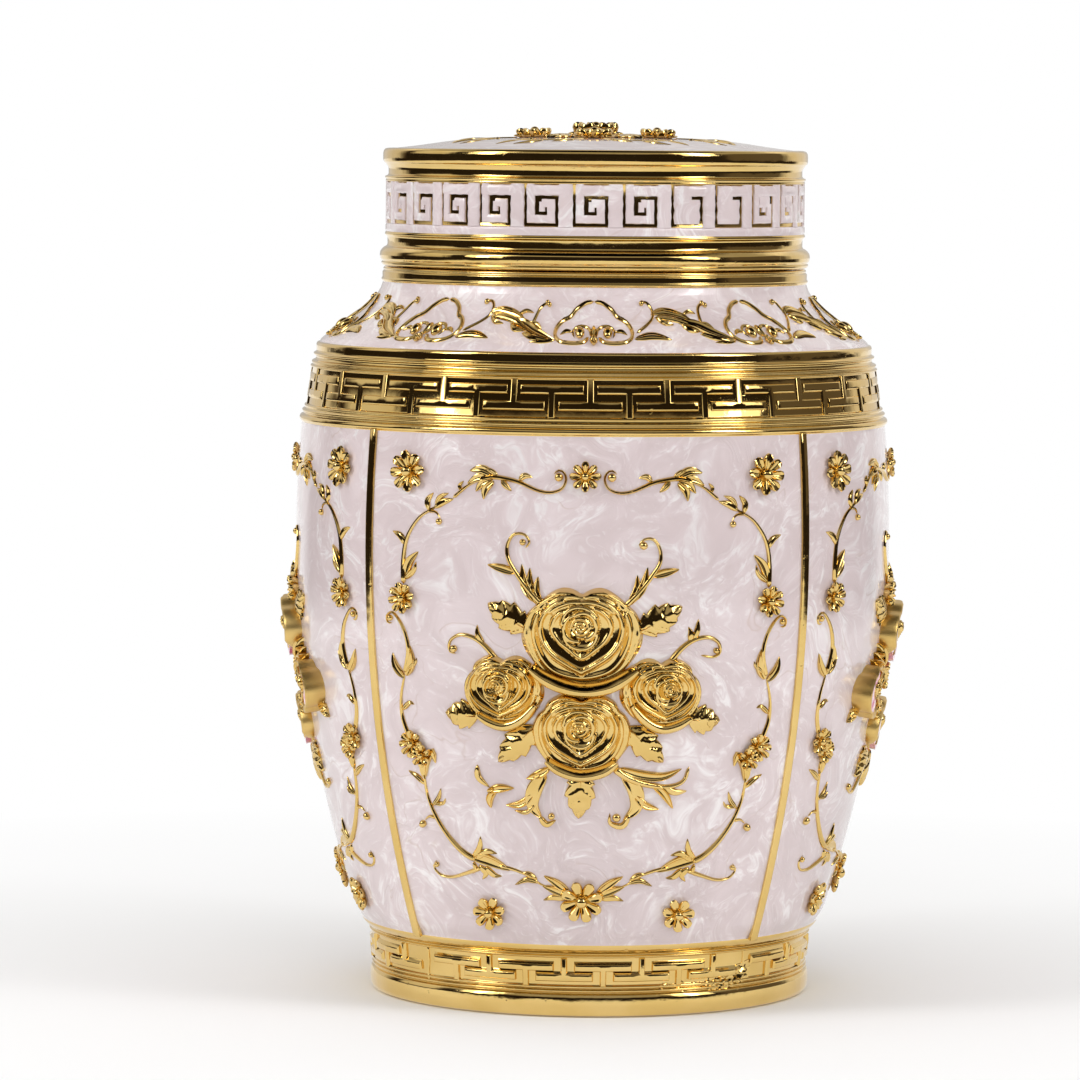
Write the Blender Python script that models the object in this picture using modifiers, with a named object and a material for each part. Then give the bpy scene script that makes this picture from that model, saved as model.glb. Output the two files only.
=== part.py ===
"""Cremation urn: a cast barrel of gilt metal with enamelled grounds, and the lid that lifts off it.

Sizes here are in millimetres, with heights measured from the foot, and MM turns them into metres.
The urn stands on the XY plane with its middle on the Z axis and its front towards -Y. Relief is
drawn flat first, as x along the wall, y up it and z out from it, and is then bent round the wall.
"""

import math

import bmesh
import bpy
from mathutils import Matrix, Vector

MM = 0.001

# Turning
OUTSIDE_STEPS = 40
CAVITY_STEPS = 24
OUTSIDE_START = math.radians(2.3)
CAVITY_START = math.radians(0.7)
MERGE_DISTANCE = 0.00005
WALL = 2.2

# Foot and barrel
FOOT_RADIUS = 64.4
BASE_FIELD_LOW = 9.4
BASE_FIELD_HIGH = 17.3
BASE_FIELD_RADIUS = 63.8
BARREL_LOW = 21.0
BARREL_HIGH = 166.8
BELLY_HEIGHT = 134.0
BELLY_RADIUS = 87.1
BARREL_CURVE = 0.0015
BARREL_STEPS = 9

# Upper band, shoulder, collar and neck
BAND_FIELD_LOW = 171.7
BAND_FIELD_HIGH = 182.4
BAND_RADIUS_LOW = 83.9
BAND_RADIUS_HIGH = 82.3
RIM_RADIUS = 81.3
RIM_TOP = 189.6
SHOULDER_LOW = 190.4
SHOULDER_HIGH = 207.5
SHOULDER_RADIUS = 80.5
SHOULDER_CURVE = 1.6
SHOULDER_STEPS = 4
COLLAR_RADIUS = 62.2
SEAT_HEIGHT = 211.8
NECK_RADIUS = 56.0
NECK_TOP = 228.0
FLOOR_THICKNESS = 3.0

# Lid
LID_GAP = 0.3
LID_LOW = SEAT_HEIGHT + LID_GAP
LID_RING_RADIUS = 62.8
KEY_LOW = 221.2
KEY_HIGH = 236.0
KEY_RADIUS = 61.1
LID_RIM_RADIUS = 62.5
LID_RIM_LOW = 241.4
LID_RIM_HIGH = 245.4
DOME_RADIUS = 60.0
DOME_TOP = 249.8
DOME_RISE = 3.9
DOME_CURVE = 2.2
DOME_STEPS = 4
LID_BORE = 57.8
LID_CEILING = 243.6

# Relief: how deep each piece is rooted in the wall, and how far each kind stands out
ROOT = 1.0
RIB_LIFT = 1.0
RIB_WIDTH = 2.5
STEM_RADIUS = 1.1
STEM_SINK = 0.25
BURIED = 0.35
SPRAY_LEAF_WIDTH = 7.0
VINE_LEAF_WIDTH = 2.8

# Frets: the bars' and stems' widths, and the bars' heights as shares of the band's
FRET_LIFT = 0.7
FRET_OVERLAP = 0.5
BAND_FRETS = 24
BAND_FRET_BAR = 17.2
BAND_FRET_STEM = 1.7
BASE_FRETS_A_QUARTER = 4
BASE_FRET_BAR = 16.0
BASE_FRET_STEM = 1.4
STANDING_BAR = (0.63, 0.79)
HANGING_BAR = (0.26, 0.42)

# Keys round the lid, scrolls round the shoulder and flowers on the dome
LID_KEYS = 28
KEY_LIFT = 0.5
KEY_LINE = 1.2
KEY_HALF_WIDTH = 4.9
KEY_TURN = math.radians(1.6)
SHOULDER_MOTIFS = 9
SHOULDER_TURN = math.radians(1.3)
DOME_FLOWER_RING = 19.4
DOME_LEAF_FOOT = 9.0
DOME_LEAF_TIP = 22.0
QUARTER = math.pi / 2

# Share of the facets kept once the relief is fused on
BODY_FACETS_KEPT = 0.39
LID_FACETS_KEPT = 0.45


def barrel_radius(height):
    """Outer radius of the barrel at a height."""
    return BELLY_RADIUS - BARREL_CURVE * (height - BELLY_HEIGHT) ** 2


def base_field_radius(height):
    """Radius of the ground behind the lower fret."""
    return BASE_FIELD_RADIUS + 0.06 * (height - BASE_FIELD_LOW)


def band_field_radius(height):
    """Radius of the ground behind the upper fret."""
    share = (height - BAND_FIELD_LOW) / (BAND_FIELD_HIGH - BAND_FIELD_LOW)
    return BAND_RADIUS_LOW + share * (BAND_RADIUS_HIGH - BAND_RADIUS_LOW)


def shoulder_radius(height):
    """Radius of the hollow-curved shoulder, from the rim up to the collar."""
    share = (height - SHOULDER_LOW) / (SHOULDER_HIGH - SHOULDER_LOW)
    share = min(max(share, 0.0), 1.0)
    top = COLLAR_RADIUS - 0.2
    return top + (SHOULDER_RADIUS - top) * (1 - share) ** SHOULDER_CURVE


def key_radius(height):
    """Radius of the upright band round the lid that carries the keys, the same at every height."""
    return KEY_RADIUS


def dome_height(radius):
    """Height of the lid's low dome at a distance from its middle."""
    return DOME_TOP - DOME_RISE * (radius / DOME_RADIUS) ** DOME_CURVE


def spaced(first, last, steps):
    """Evenly spaced values from first to last, both included."""
    return [first + (last - first) * step / steps for step in range(steps + 1)]


def fresh_collection(name):
    """A new collection in the scene."""
    collection = bpy.data.collections.new(name)
    bpy.context.scene.collection.children.link(collection)
    return collection


def principled(name, colour, metallic, roughness):
    """A Principled material of one colour."""
    material = bpy.data.materials.new(name)
    material.use_nodes = True
    shader = material.node_tree.nodes["Principled BSDF"]
    shader.inputs["Base Color"].default_value = (*colour, 1.0)
    shader.inputs["Metallic"].default_value = metallic
    shader.inputs["Roughness"].default_value = roughness
    material.diffuse_color = (*colour, 1.0)
    return material


def turned(name, profile, steps, start, material, collection):
    """A solid of revolution. The profile lists (radius, height) down its outer side, from pole to pole.

    start turns the first facet edge away from +X, off the lines on which the relief is centred.
    """
    mesh = bpy.data.meshes.new(name)
    across = math.cos(start) * MM
    aside = math.sin(start) * MM
    points = [(radius * across, radius * aside, height * MM) for radius, height in profile]
    edges = [(index, index + 1) for index in range(len(points) - 1)]
    mesh.from_pydata(points, edges, [])
    mesh.materials.append(material)
    piece = bpy.data.objects.new(name, mesh)
    collection.objects.link(piece)
    screw = piece.modifiers.new("turn", "SCREW")
    screw.axis = "Z"
    screw.steps = steps
    screw.render_steps = steps
    screw.use_merge_vertices = True
    screw.merge_threshold = MERGE_DISTANCE
    screw.use_smooth_shade = True
    return piece


def join_relief(piece, relief, share_kept):
    """Fuses a collection of closed forms with a piece, then thins out the facets this leaves."""
    union = piece.modifiers.new("relief", "BOOLEAN")
    union.operation = "UNION"
    union.solver = "MANIFOLD"
    union.operand_type = "COLLECTION"
    union.collection = relief
    union.material_mode = "TRANSFER"
    thin = piece.modifiers.new("thin", "DECIMATE")
    thin.decimate_type = "COLLAPSE"
    thin.ratio = share_kept


def cut_out(piece, cutter):
    """Hollows a piece with a cutter, which isn't part of the urn itself."""
    cut = piece.modifiers.new("hollow", "BOOLEAN")
    cut.operation = "DIFFERENCE"
    cut.solver = "MANIFOLD"
    cut.object = cutter
    cutter.hide_render = True
    cutter.display_type = "WIRE"


def slab(outline, lift, root=ROOT):
    """A flat plate with the given outline, counted anticlockwise, rooted in the wall."""
    plate = bmesh.new()
    corners = [plate.verts.new((x, y, -root)) for x, y in outline]
    base = plate.faces.new(corners)
    raised = bmesh.ops.extrude_face_region(plate, geom=[base])["geom"]
    top = [item for item in raised if isinstance(item, bmesh.types.BMVert)]
    bmesh.ops.translate(plate, verts=top, vec=(0, 0, lift + root))
    return plate


def strip(path, width, lift):
    """A flat line of even width along a path with square turns."""
    left = []
    right = []
    points = [Vector(point) for point in path]
    for index, point in enumerate(points):
        before = (point - points[index - 1]).normalized() if index else None
        after = (points[index + 1] - point).normalized() if index + 1 < len(points) else None
        if before is None:
            before = after
        if after is None:
            after = before
        side = Vector((-before.y - after.y, before.x + after.x)).normalized()
        reach = width / 2 / max(0.3, side.dot(Vector((-before.y, before.x))))
        left.append(point + side * reach)
        right.append(point - side * reach)
    return slab([tuple(point) for point in right + left[::-1]], lift)


def boss(centre, size, lift, corners, taper=0.5, turn=0.0, hollow=0.0, petals=0.0, point=0.0):
    """A raised round form: a cone cut short, with a dished or peaked top.

    size gives the half width and half height; taper is the top's size as a share of the foot's.
    petals pulls every other corner in, and point draws the lowest corner down, as on a heart.
    """
    form = bmesh.new()
    depth = lift + ROOT
    bmesh.ops.create_cone(form, cap_ends=True, segments=corners, radius1=1.0, radius2=taper, depth=depth)
    bmesh.ops.rotate(form, verts=form.verts, cent=(0, 0, 0), matrix=Matrix.Rotation(turn, 3, "Z"))
    for vertex in form.verts:
        step = round((math.atan2(vertex.co.y, vertex.co.x) - turn) / (2 * math.pi) * corners)
        if step % 2:
            vertex.co.xy *= 1 - petals
    lowest = min(vertex.co.y for vertex in form.verts)
    for vertex in form.verts:
        if vertex.co.y < lowest * 0.8 * (taper if vertex.co.z > 0 else 1.0):
            vertex.co.y *= 1 + point
    caps = [face for face in form.faces if len(face.verts) == corners and face.calc_center_median().z > 0]
    middle = bmesh.ops.poke(form, faces=caps)["verts"]
    bmesh.ops.translate(form, verts=middle, vec=(0, 0, -hollow))
    bmesh.ops.scale(form, verts=form.verts, vec=(size[0], size[1], 1))
    bmesh.ops.translate(form, verts=form.verts, vec=(centre[0], centre[1], (lift - ROOT) / 2))
    return form


def flower(x, y, radius, lift=1.7):
    """A small star-shaped flower: a low cone with every other corner pulled in."""
    form = bmesh.new()
    spread = radius * (lift + BURIED) / lift
    bmesh.ops.create_cone(form, cap_ends=True, segments=8, radius1=spread, radius2=0, depth=lift + BURIED)
    for vertex in form.verts:
        if round(math.atan2(vertex.co.y, vertex.co.x) / (math.pi / 4)) % 2:
            vertex.co.xy *= 0.72
    bmesh.ops.translate(form, verts=form.verts, vec=(x, y, (lift - BURIED) / 2))
    return form


def leaf(foot, tip, width, lift):
    """A pointed leaf that rises to its middle, from its foot to its tip."""
    start = Vector(foot)
    run = Vector(tip) - start
    side = Vector((-run.y, run.x)).normalized() * (width / 2) * (1 + BURIED / lift)
    widest = start + run * 0.42
    corners = [start, widest - side, Vector(tip), widest + side]
    form = slab([tuple(corner) for corner in corners], -BURIED)
    upper = max(form.faces, key=lambda face: face.calc_center_median().z)
    middle = bmesh.ops.poke(form, faces=[upper])["verts"]
    bmesh.ops.translate(form, verts=middle, vec=(0, 0, lift + BURIED))
    return form


def stem(path, radius=STEM_RADIUS, lift=-STEM_SINK):
    """A four-sided stem along a path, thinner at its ends, with one edge up."""
    curve = bpy.data.curves.new("stem", "CURVE")
    curve.dimensions = "3D"
    curve.bevel_depth = radius
    curve.bevel_resolution = 0
    curve.use_fill_caps = True
    spline = curve.splines.new("POLY")
    spline.points.add(len(path) - 1)
    for index, (x, y) in enumerate(path):
        spline.points[index].co = (x, y, lift, 1)
        spline.points[index].radius = 0.7 if index in (0, len(path) - 1) else 1.0
    holder = bpy.data.objects.new("stem", curve)
    bpy.context.scene.collection.objects.link(holder)
    bpy.context.view_layer.update()
    mesh = bpy.data.meshes.new_from_object(holder.evaluated_get(bpy.context.evaluated_depsgraph_get()))
    form = bmesh.new()
    form.from_mesh(mesh)
    bmesh.ops.remove_doubles(form, verts=form.verts, dist=0.001)
    bpy.data.objects.remove(holder)
    bpy.data.curves.remove(curve)
    bpy.data.meshes.remove(mesh)
    return form


def bent(form, radius_at, angle):
    """Bends a flat form round a wall whose radius is given at each height. The angle is from the front."""
    for vertex in form.verts:
        along, height, out = vertex.co
        radius = radius_at(height)
        slope = (radius_at(height + 0.2) - radius_at(height - 0.2)) / 0.4
        length = math.hypot(1.0, slope)
        turn = angle + along / radius
        reach = radius + out / length
        vertex.co = (reach * math.sin(turn), -reach * math.cos(turn), height - out * slope / length)
    return form


def laid(form, centre):
    """Lays a flat form on the lid's dome, with its middle at a place given in plan."""
    for vertex in form.verts:
        x = vertex.co.x + centre[0]
        y = vertex.co.y + centre[1]
        vertex.co = (x, y, dome_height(math.hypot(x, y)) + vertex.co.z)
    return form


class Relief:
    """The raised work of one piece: a collection with one closed form in each object."""

    def __init__(self, name, material):
        self.name = name
        self.material = material
        self.collection = fresh_collection(name)

    def add(self, form):
        """Takes in one closed form."""
        bmesh.ops.triangulate(form, faces=form.faces)
        bmesh.ops.recalc_face_normals(form, faces=form.faces)
        if form.calc_volume(signed=True) < 0:
            bmesh.ops.reverse_faces(form, faces=form.faces)
        bmesh.ops.scale(form, vec=(MM, MM, MM), verts=form.verts)
        mesh = bpy.data.meshes.new(self.name)
        form.to_mesh(mesh)
        form.free()
        mesh.materials.append(self.material)
        piece = bpy.data.objects.new(f"{self.name}_{len(self.collection.objects):03d}", mesh)
        piece.hide_render = True
        piece.display_type = "WIRE"
        self.collection.objects.link(piece)


def fret_outline(bar, bar_low, bar_high, stem_width, stem_end):
    """Outline of one T of the fret: its bar, and the stem that joins it to the border above or below."""
    half = bar / 2
    post = stem_width / 2
    if stem_end < bar_low:
        return [
            (-post, stem_end),
            (post, stem_end),
            (post, bar_low),
            (half, bar_low),
            (half, bar_high),
            (0, bar_high),
            (-half, bar_high),
            (-half, bar_low),
            (-post, bar_low),
        ]
    return [
        (-half, bar_low),
        (0, bar_low),
        (half, bar_low),
        (half, bar_high),
        (post, bar_high),
        (post, stem_end),
        (-post, stem_end),
        (-post, bar_high),
        (-half, bar_high),
    ]


def add_frets(relief, low, high, radius_at, angles, bar, stem_width):
    """A band of Ts, standing and hanging by turns."""
    rise = high - low
    standing_bar = [low + share * rise for share in STANDING_BAR]
    hanging_bar = [low + share * rise for share in HANGING_BAR]
    standing = fret_outline(bar, *standing_bar, stem_width, low - FRET_OVERLAP)
    hanging = fret_outline(bar, *hanging_bar, stem_width, high + FRET_OVERLAP)
    for index, angle in enumerate(angles):
        outline = hanging if index % 2 else standing
        relief.add(bent(slab(outline, FRET_LIFT), radius_at, angle))


def add_base_frets(relief):
    """The lower fret starts again at each of the four casting seams."""
    step = math.radians(10)
    steps = 2 * BASE_FRETS_A_QUARTER
    for quarter in range(4):
        seam = quarter * QUARTER - QUARTER / 2
        angles = [seam + step * (index + 1) for index in range(steps)]
        if quarter == 0:
            angles = angles[:-1]
        field = (BASE_FIELD_LOW, BASE_FIELD_HIGH, base_field_radius)
        add_frets(relief, *field, angles, BASE_FRET_BAR, BASE_FRET_STEM)


def add_flaw(relief):
    """A crumple in the casting where the last hanging T of the front quarter should be."""
    for along, height, size in ((-3.0, 13.6, 2.6), (1.2, 12.4, 2.2), (4.6, 14.2, 1.8)):
        lump = boss((along, height), (size, size * 0.7), 0.8, 5, taper=0.3, turn=along)
        relief.add(bent(lump, base_field_radius, math.radians(35)))


def add_band_frets(relief):
    """The upper fret runs evenly all round."""
    step = math.pi / BAND_FRETS
    angles = [step * (index + 1) for index in range(2 * BAND_FRETS)]
    field = (BAND_FIELD_LOW, BAND_FIELD_HIGH, band_field_radius)
    add_frets(relief, *field, angles, BAND_FRET_BAR, BAND_FRET_STEM)


def add_ribs(relief):
    """Four upright ribs part the barrel into panels."""
    low = BARREL_LOW - 0.6
    high = BARREL_HIGH + 0.6
    for quarter in range(4):
        grid = bmesh.new()
        bmesh.ops.create_grid(grid, x_segments=1, y_segments=BARREL_STEPS, size=0.5)
        for vertex in grid.verts:
            vertex.co.x *= RIB_WIDTH
            vertex.co.y = low + (vertex.co.y + 0.5) * (high - low)
            vertex.co.z = -ROOT
        raised = bmesh.ops.extrude_face_region(grid, geom=grid.faces[:])["geom"]
        top = [item for item in raised if isinstance(item, bmesh.types.BMVert)]
        bmesh.ops.translate(grid, verts=top, vec=(0, 0, RIB_LIFT + ROOT))
        relief.add(bent(grid, barrel_radius, (quarter + 0.5) * QUARTER))


def rose_forms(centre, size, lift, bud):
    """A full rose: an outer cup of petals, a heart-shaped inner one, and the bud."""
    half_width, half_height = size
    inner = (half_width * 0.68, half_height * 0.66)
    middle = ((centre[0] + bud[0]) / 2, (centre[1] + bud[1]) / 2)
    yield boss(centre, size, lift * 0.62, 10, taper=0.86, turn=0.1, hollow=0.6)
    yield boss(middle, inner, lift * 0.9, 9, taper=0.84, turn=-math.pi / 2, hollow=1.6, point=0.18)
    yield boss(bud, (half_width * 0.3, half_height * 0.34), lift, 6, taper=0.7, turn=0.4, hollow=0.4)


def rose_spray():
    """Four roses with their leaves and tendrils, as on the front and the back."""
    blooms = (
        ((-0.5, 110.0), (18.0, 14.0), 5.5, (-0.9, 114.0)),
        ((-22.8, 95.0), (12.0, 10.4), 4.6, (-24.0, 96.8)),
        ((21.6, 94.6), (12.1, 10.6), 4.6, (23.6, 96.4)),
        ((-0.6, 82.6), (14.5, 11.2), 5.0, (-1.0, 85.6)),
    )
    for centre, size, lift, bud in blooms:
        yield from rose_forms(centre, size, lift, bud)
    lips = (
        ([(-13.5, 98.6), (-7.0, 95.0), (-0.6, 93.8), (6.5, 95.0), (12.5, 98.0)], 1.9),
        ([(-11.0, 75.4), (-5.5, 71.6), (-0.5, 70.6), (4.8, 71.6), (10.0, 75.0)], 1.7),
    )
    for path, radius in lips:
        yield stem(path, radius, 2.0)
    leaves = (
        ((-17.0, 112.0), (-27.4, 119.4)),
        ((16.6, 112.0), (27.4, 119.2)),
        ((-31.0, 88.2), (-40.0, 87.6)),
        ((30.0, 88.0), (38.8, 86.6)),
        ((-14.0, 84.0), (-24.2, 74.8)),
        ((13.2, 84.0), (22.2, 75.0)),
        ((-0.4, 71.0), (-1.4, 59.0)),
    )
    for foot, tip in leaves:
        yield leaf(foot, tip, SPRAY_LEAF_WIDTH, 1.6)
    tendrils = (
        [(-12.0, 119.0), (-18.6, 127.6), (-22.2, 133.6), (-21.0, 138.2), (-17.4, 137.2)],
        [(11.6, 118.8), (18.6, 127.4), (21.2, 133.0), (19.4, 137.6), (16.2, 136.4)],
        [(-24.4, 103.4), (-32.3, 109.5), (-38.2, 109.0), (-38.2, 105.6)],
        [(24.0, 103.4), (31.4, 109.6), (37.6, 108.8), (38.2, 105.8)],
        [(9.0, 73.0), (18.2, 68.2), (26.6, 68.0), (29.6, 72.8)],
        [(10.4, 71.0), (13.6, 64.4), (12.6, 58.6), (8.6, 58.4)],
        [(-10.6, 72.4), (-14.4, 65.0), (-11.0, 57.6)],
    )
    for path in tendrils:
        yield stem(path)


def blossom_spray():
    """Four thick-petalled blossoms, as on the two sides."""
    blooms = (
        ((0.0, 107.4), (17.6, 10.4), 5.2, 12),
        ((-25.5, 92.0), (12.0, 8.0), 3.6, 10),
        ((25.5, 92.0), (12.0, 8.0), 3.6, 10),
        ((0.0, 79.4), (17.0, 8.4), 3.4, 12),
    )
    for centre, size, lift, corners in blooms:
        turn = math.pi / corners
        yield boss(centre, size, lift, corners, taper=0.94, turn=turn, hollow=-0.5, petals=0.12)
    small_flowers = (
        (-11.5, 119.0, 4.2, 3.0),
        (11.5, 119.0, 4.2, 3.0),
        (0.0, 93.6, 4.6, 3.4),
    )
    for x, y, radius, lift in small_flowers:
        yield boss((x, y), (radius, radius), lift, 8, taper=0.4, petals=0.2)
    leaves = (
        ((-4.0, 116.0), (-7.0, 125.6)),
        ((4.0, 116.0), (7.0, 125.6)),
        ((-34.0, 95.0), (-42.0, 100.0)),
        ((34.0, 95.0), (42.0, 100.0)),
        ((-13.0, 73.4), (-20.6, 66.0)),
        ((13.0, 73.4), (20.6, 66.0)),
    )
    for foot, tip in leaves:
        yield leaf(foot, tip, SPRAY_LEAF_WIDTH, 1.8)


VINE = (
    [
        (-7.3, 155.4),
        (-8.0, 152.4),
        (-12.8, 152.2),
        (-17.1, 154.0),
        (-25.3, 154.3),
        (-33.0, 151.8),
        (-41.3, 147.2),
        (-49.1, 142.6),
        (-53.6, 138.0),
        (-55.0, 132.0),
        (-55.0, 124.0),
    ],
    [(-59.2, 114.4), (-56.2, 111.8), (-53.3, 106.0), (-54.6, 98.0), (-56.2, 89.0), (-54.2, 81.2)],
    [(-48.2, 70.4), (-47.4, 63.0), (-44.3, 57.0), (-39.4, 50.4), (-34.4, 46.6), (-30.6, 45.0)],
    [
        (-45.4, 43.4),
        (-41.0, 39.8),
        (-35.6, 40.6),
        (-29.2, 42.8),
        (-20.2, 42.4),
        (-12.4, 40.0),
        (-6.5, 38.2),
    ],
)
VINE_FLOWERS = (
    (-53.4, 155.6, 4.7),
    (-25.6, 30.4, 4.3),
    (-55.0, 119.8, 4.2),
    (-50.6, 76.6, 4.2),
)
MIDDLE_FLOWERS = (
    (0.0, 155.6, 3.6),
    (-0.4, 34.8, 5.0),
)
VINE_LEAVES = (
    ((-30.4, 153.0), (-33.2, 157.2)),
    ((-54.6, 136.4), (-58.6, 138.6)),
    ((-54.6, 131.0), (-50.6, 133.0)),
    ((-54.2, 100.0), (-57.6, 104.4)),
    ((-48.2, 74.0), (-43.6, 71.0)),
    ((-47.6, 64.0), (-43.4, 65.0)),
    ((-35.0, 46.6), (-30.0, 50.4)),
    ((-31.6, 44.2), (-23.4, 47.2)),
)


def add_vines(relief, angle):
    """The flowering vine that frames a panel, alike on its left and right."""
    for side in (1, -1):
        for path in VINE:
            relief.add(bent(stem([(side * x, y) for x, y in path]), barrel_radius, angle))
        for x, y, radius in VINE_FLOWERS:
            relief.add(bent(flower(side * x, y, radius), barrel_radius, angle))
        for foot, tip in VINE_LEAVES:
            ends = [(side * x, y) for x, y in (foot, tip)]
            relief.add(bent(leaf(*ends, VINE_LEAF_WIDTH, 1.0), barrel_radius, angle))
    for x, y, radius in MIDDLE_FLOWERS:
        relief.add(bent(flower(x, y, radius), barrel_radius, angle))


def add_panels(relief):
    """Roses on the front and the back panel, blossoms on the two sides, and a vine round each."""
    for quarter in range(4):
        angle = quarter * QUARTER
        forms = blossom_spray() if quarter % 2 else rose_spray()
        for form in forms:
            relief.add(bent(form, barrel_radius, angle))
        add_vines(relief, angle)


def add_shoulder_scrolls(relief):
    """Arched scrolls round the shoulder, each with two balls in it and leaves between."""
    half = [(8.6, 194.4), (7.6, 198.8), (4.0, 202.4)]
    arch = [(-x, y) for x, y in half] + [(0.0, 203.6)] + half[::-1]
    for motif in range(SHOULDER_MOTIFS):
        angle = SHOULDER_TURN + motif * 2 * math.pi / SHOULDER_MOTIFS
        relief.add(bent(stem(arch), shoulder_radius, angle))
        for side in (1, -1):
            ball = boss((side * 3.6, 195.2), (1.9, 1.5), 1.6, 5, taper=0.5)
            relief.add(bent(ball, shoulder_radius, angle))
            foot = (side * 11.2, 195.0)
            tip = (side * 22.0, 199.6)
            relief.add(bent(leaf(foot, tip, 3.6, 1.4), shoulder_radius, angle))


def add_keys(relief):
    """Square spirals round the lid."""
    left = -KEY_HALF_WIDTH
    right = KEY_HALF_WIDTH
    low = KEY_LOW + 1.0
    high = KEY_HIGH - 1.0
    inner = high - 1.6
    path = [(left, high), (left, low), (right, low), (right, inner), (0.2, inner), (0.2, low + 4.2)]
    for key in range(LID_KEYS):
        angle = KEY_TURN + key * 2 * math.pi / LID_KEYS
        relief.add(bent(strip(path, KEY_LINE, KEY_LIFT), key_radius, angle))


def add_lid_flowers(relief):
    """A large flower in the middle of the dome, and a smaller one on each side with a leaf between."""
    relief.add(laid(boss((0, 0), (8.6, 8.6), 3.4, 12, taper=0.7, petals=0.16), (0, 0)))
    relief.add(laid(boss((0, 0), (4.4, 4.4), 5.0, 8, taper=0.5, turn=0.3, petals=0.2), (0, 0)))
    for quarter in range(4):
        heading = quarter * QUARTER
        across = Vector((math.cos(heading), math.sin(heading))) * DOME_FLOWER_RING
        relief.add(laid(boss((0, 0), (5.9, 5.9), 3.2, 10, taper=0.4, petals=0.22), across))
        slant = heading + QUARTER / 2
        along = Vector((math.cos(slant), math.sin(slant)))
        blade = leaf(along * DOME_LEAF_FOOT, along * DOME_LEAF_TIP, SPRAY_LEAF_WIDTH, 1.4)
        relief.add(laid(blade, (0, 0)))


def body_outline():
    """The urn's outer side, from the middle of its mouth down to the middle of its underside."""
    points = [
        (0, NECK_TOP),
        (NECK_RADIUS, NECK_TOP),
        (NECK_RADIUS, SEAT_HEIGHT),
        (COLLAR_RADIUS - 0.6, SEAT_HEIGHT),
        (COLLAR_RADIUS, SEAT_HEIGHT - 0.6),
        (COLLAR_RADIUS, SHOULDER_HIGH + 0.6),
    ]
    for height in spaced(SHOULDER_HIGH, SHOULDER_LOW, SHOULDER_STEPS):
        points.append((shoulder_radius(height), height))
    points += [
        (RIM_RADIUS, RIM_TOP),
        (RIM_RADIUS, RIM_TOP - 3.2),
        (RIM_RADIUS + 0.3, BAND_FIELD_HIGH + 1.6),
        (BAND_RADIUS_HIGH + 0.8, BAND_FIELD_HIGH + 0.2),
        (BAND_RADIUS_HIGH, BAND_FIELD_HIGH),
        (BAND_RADIUS_LOW, BAND_FIELD_LOW),
        (BAND_RADIUS_LOW + 1.2, BAND_FIELD_LOW - 0.4),
        (BAND_RADIUS_LOW + 1.9, BARREL_HIGH + 1.0),
    ]
    for height in spaced(BARREL_HIGH, BARREL_LOW, BARREL_STEPS):
        points.append((barrel_radius(height), height))
    points += [
        (BASE_FIELD_RADIUS + 1.5, BASE_FIELD_HIGH + 0.3),
        (base_field_radius(BASE_FIELD_HIGH), BASE_FIELD_HIGH),
        (BASE_FIELD_RADIUS, BASE_FIELD_LOW),
        (FOOT_RADIUS, BASE_FIELD_LOW - 0.6),
        (FOOT_RADIUS, 1.0),
        (FOOT_RADIUS - 0.8, 0),
        (0, 0),
    ]
    return points


def body_cavity():
    """The space for the ashes, with the neck's bore above it."""
    neck = NECK_RADIUS - WALL
    points = [(0, NECK_TOP + 5.0), (neck, NECK_TOP + 5.0), (neck, SHOULDER_HIGH - 3.0)]
    points.append((shoulder_radius(196.0) - WALL, 196.0 - WALL))
    points.append((RIM_RADIUS - 2 * WALL, RIM_TOP - WALL))
    for height in spaced(BARREL_HIGH, BARREL_LOW + 11.0, 5):
        points.append((barrel_radius(height) - WALL, height))
    points.append((BASE_FIELD_RADIUS - WALL, BASE_FIELD_HIGH + 1.5))
    points.append((BASE_FIELD_RADIUS - WALL, FLOOR_THICKNESS))
    points.append((0, FLOOR_THICKNESS))
    return points


def lid_outline():
    """The lid's outer side, from the top of its dome down to the ring that rests on the collar."""
    points = []
    for share in spaced(0.0, 1.0, DOME_STEPS):
        radius = DOME_RADIUS * share
        points.append((radius, dome_height(radius)))
    points += [
        (LID_RIM_RADIUS - 0.7, LID_RIM_HIGH + 0.6),
        (LID_RIM_RADIUS, LID_RIM_HIGH),
        (LID_RIM_RADIUS, LID_RIM_LOW),
        (KEY_RADIUS - 0.5, LID_RIM_LOW - 1.6),
        (KEY_RADIUS - 0.5, KEY_HIGH + 1.6),
        (KEY_RADIUS + 0.5, KEY_HIGH + 0.8),
        (KEY_RADIUS, KEY_HIGH),
        (KEY_RADIUS, KEY_LOW),
        (KEY_RADIUS - 0.3, KEY_LOW - 3.8),
        (LID_RING_RADIUS, LID_LOW + 4.2),
        (LID_RING_RADIUS, LID_LOW + 0.5),
        (LID_RING_RADIUS - 0.5, LID_LOW),
        (0, LID_LOW),
    ]
    return points


def lid_cavity():
    """The hollow under the lid, which clears the neck."""
    return [
        (0, LID_CEILING),
        (LID_BORE - 4.0, LID_CEILING),
        (LID_BORE, LID_CEILING - 4.0),
        (LID_BORE, LID_LOW - 5.0),
        (0, LID_LOW - 5.0),
    ]


def clear_scene():
    """Takes every object out of the scene."""
    for thing in list(bpy.data.objects):
        bpy.data.objects.remove(thing, do_unlink=True)


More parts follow.
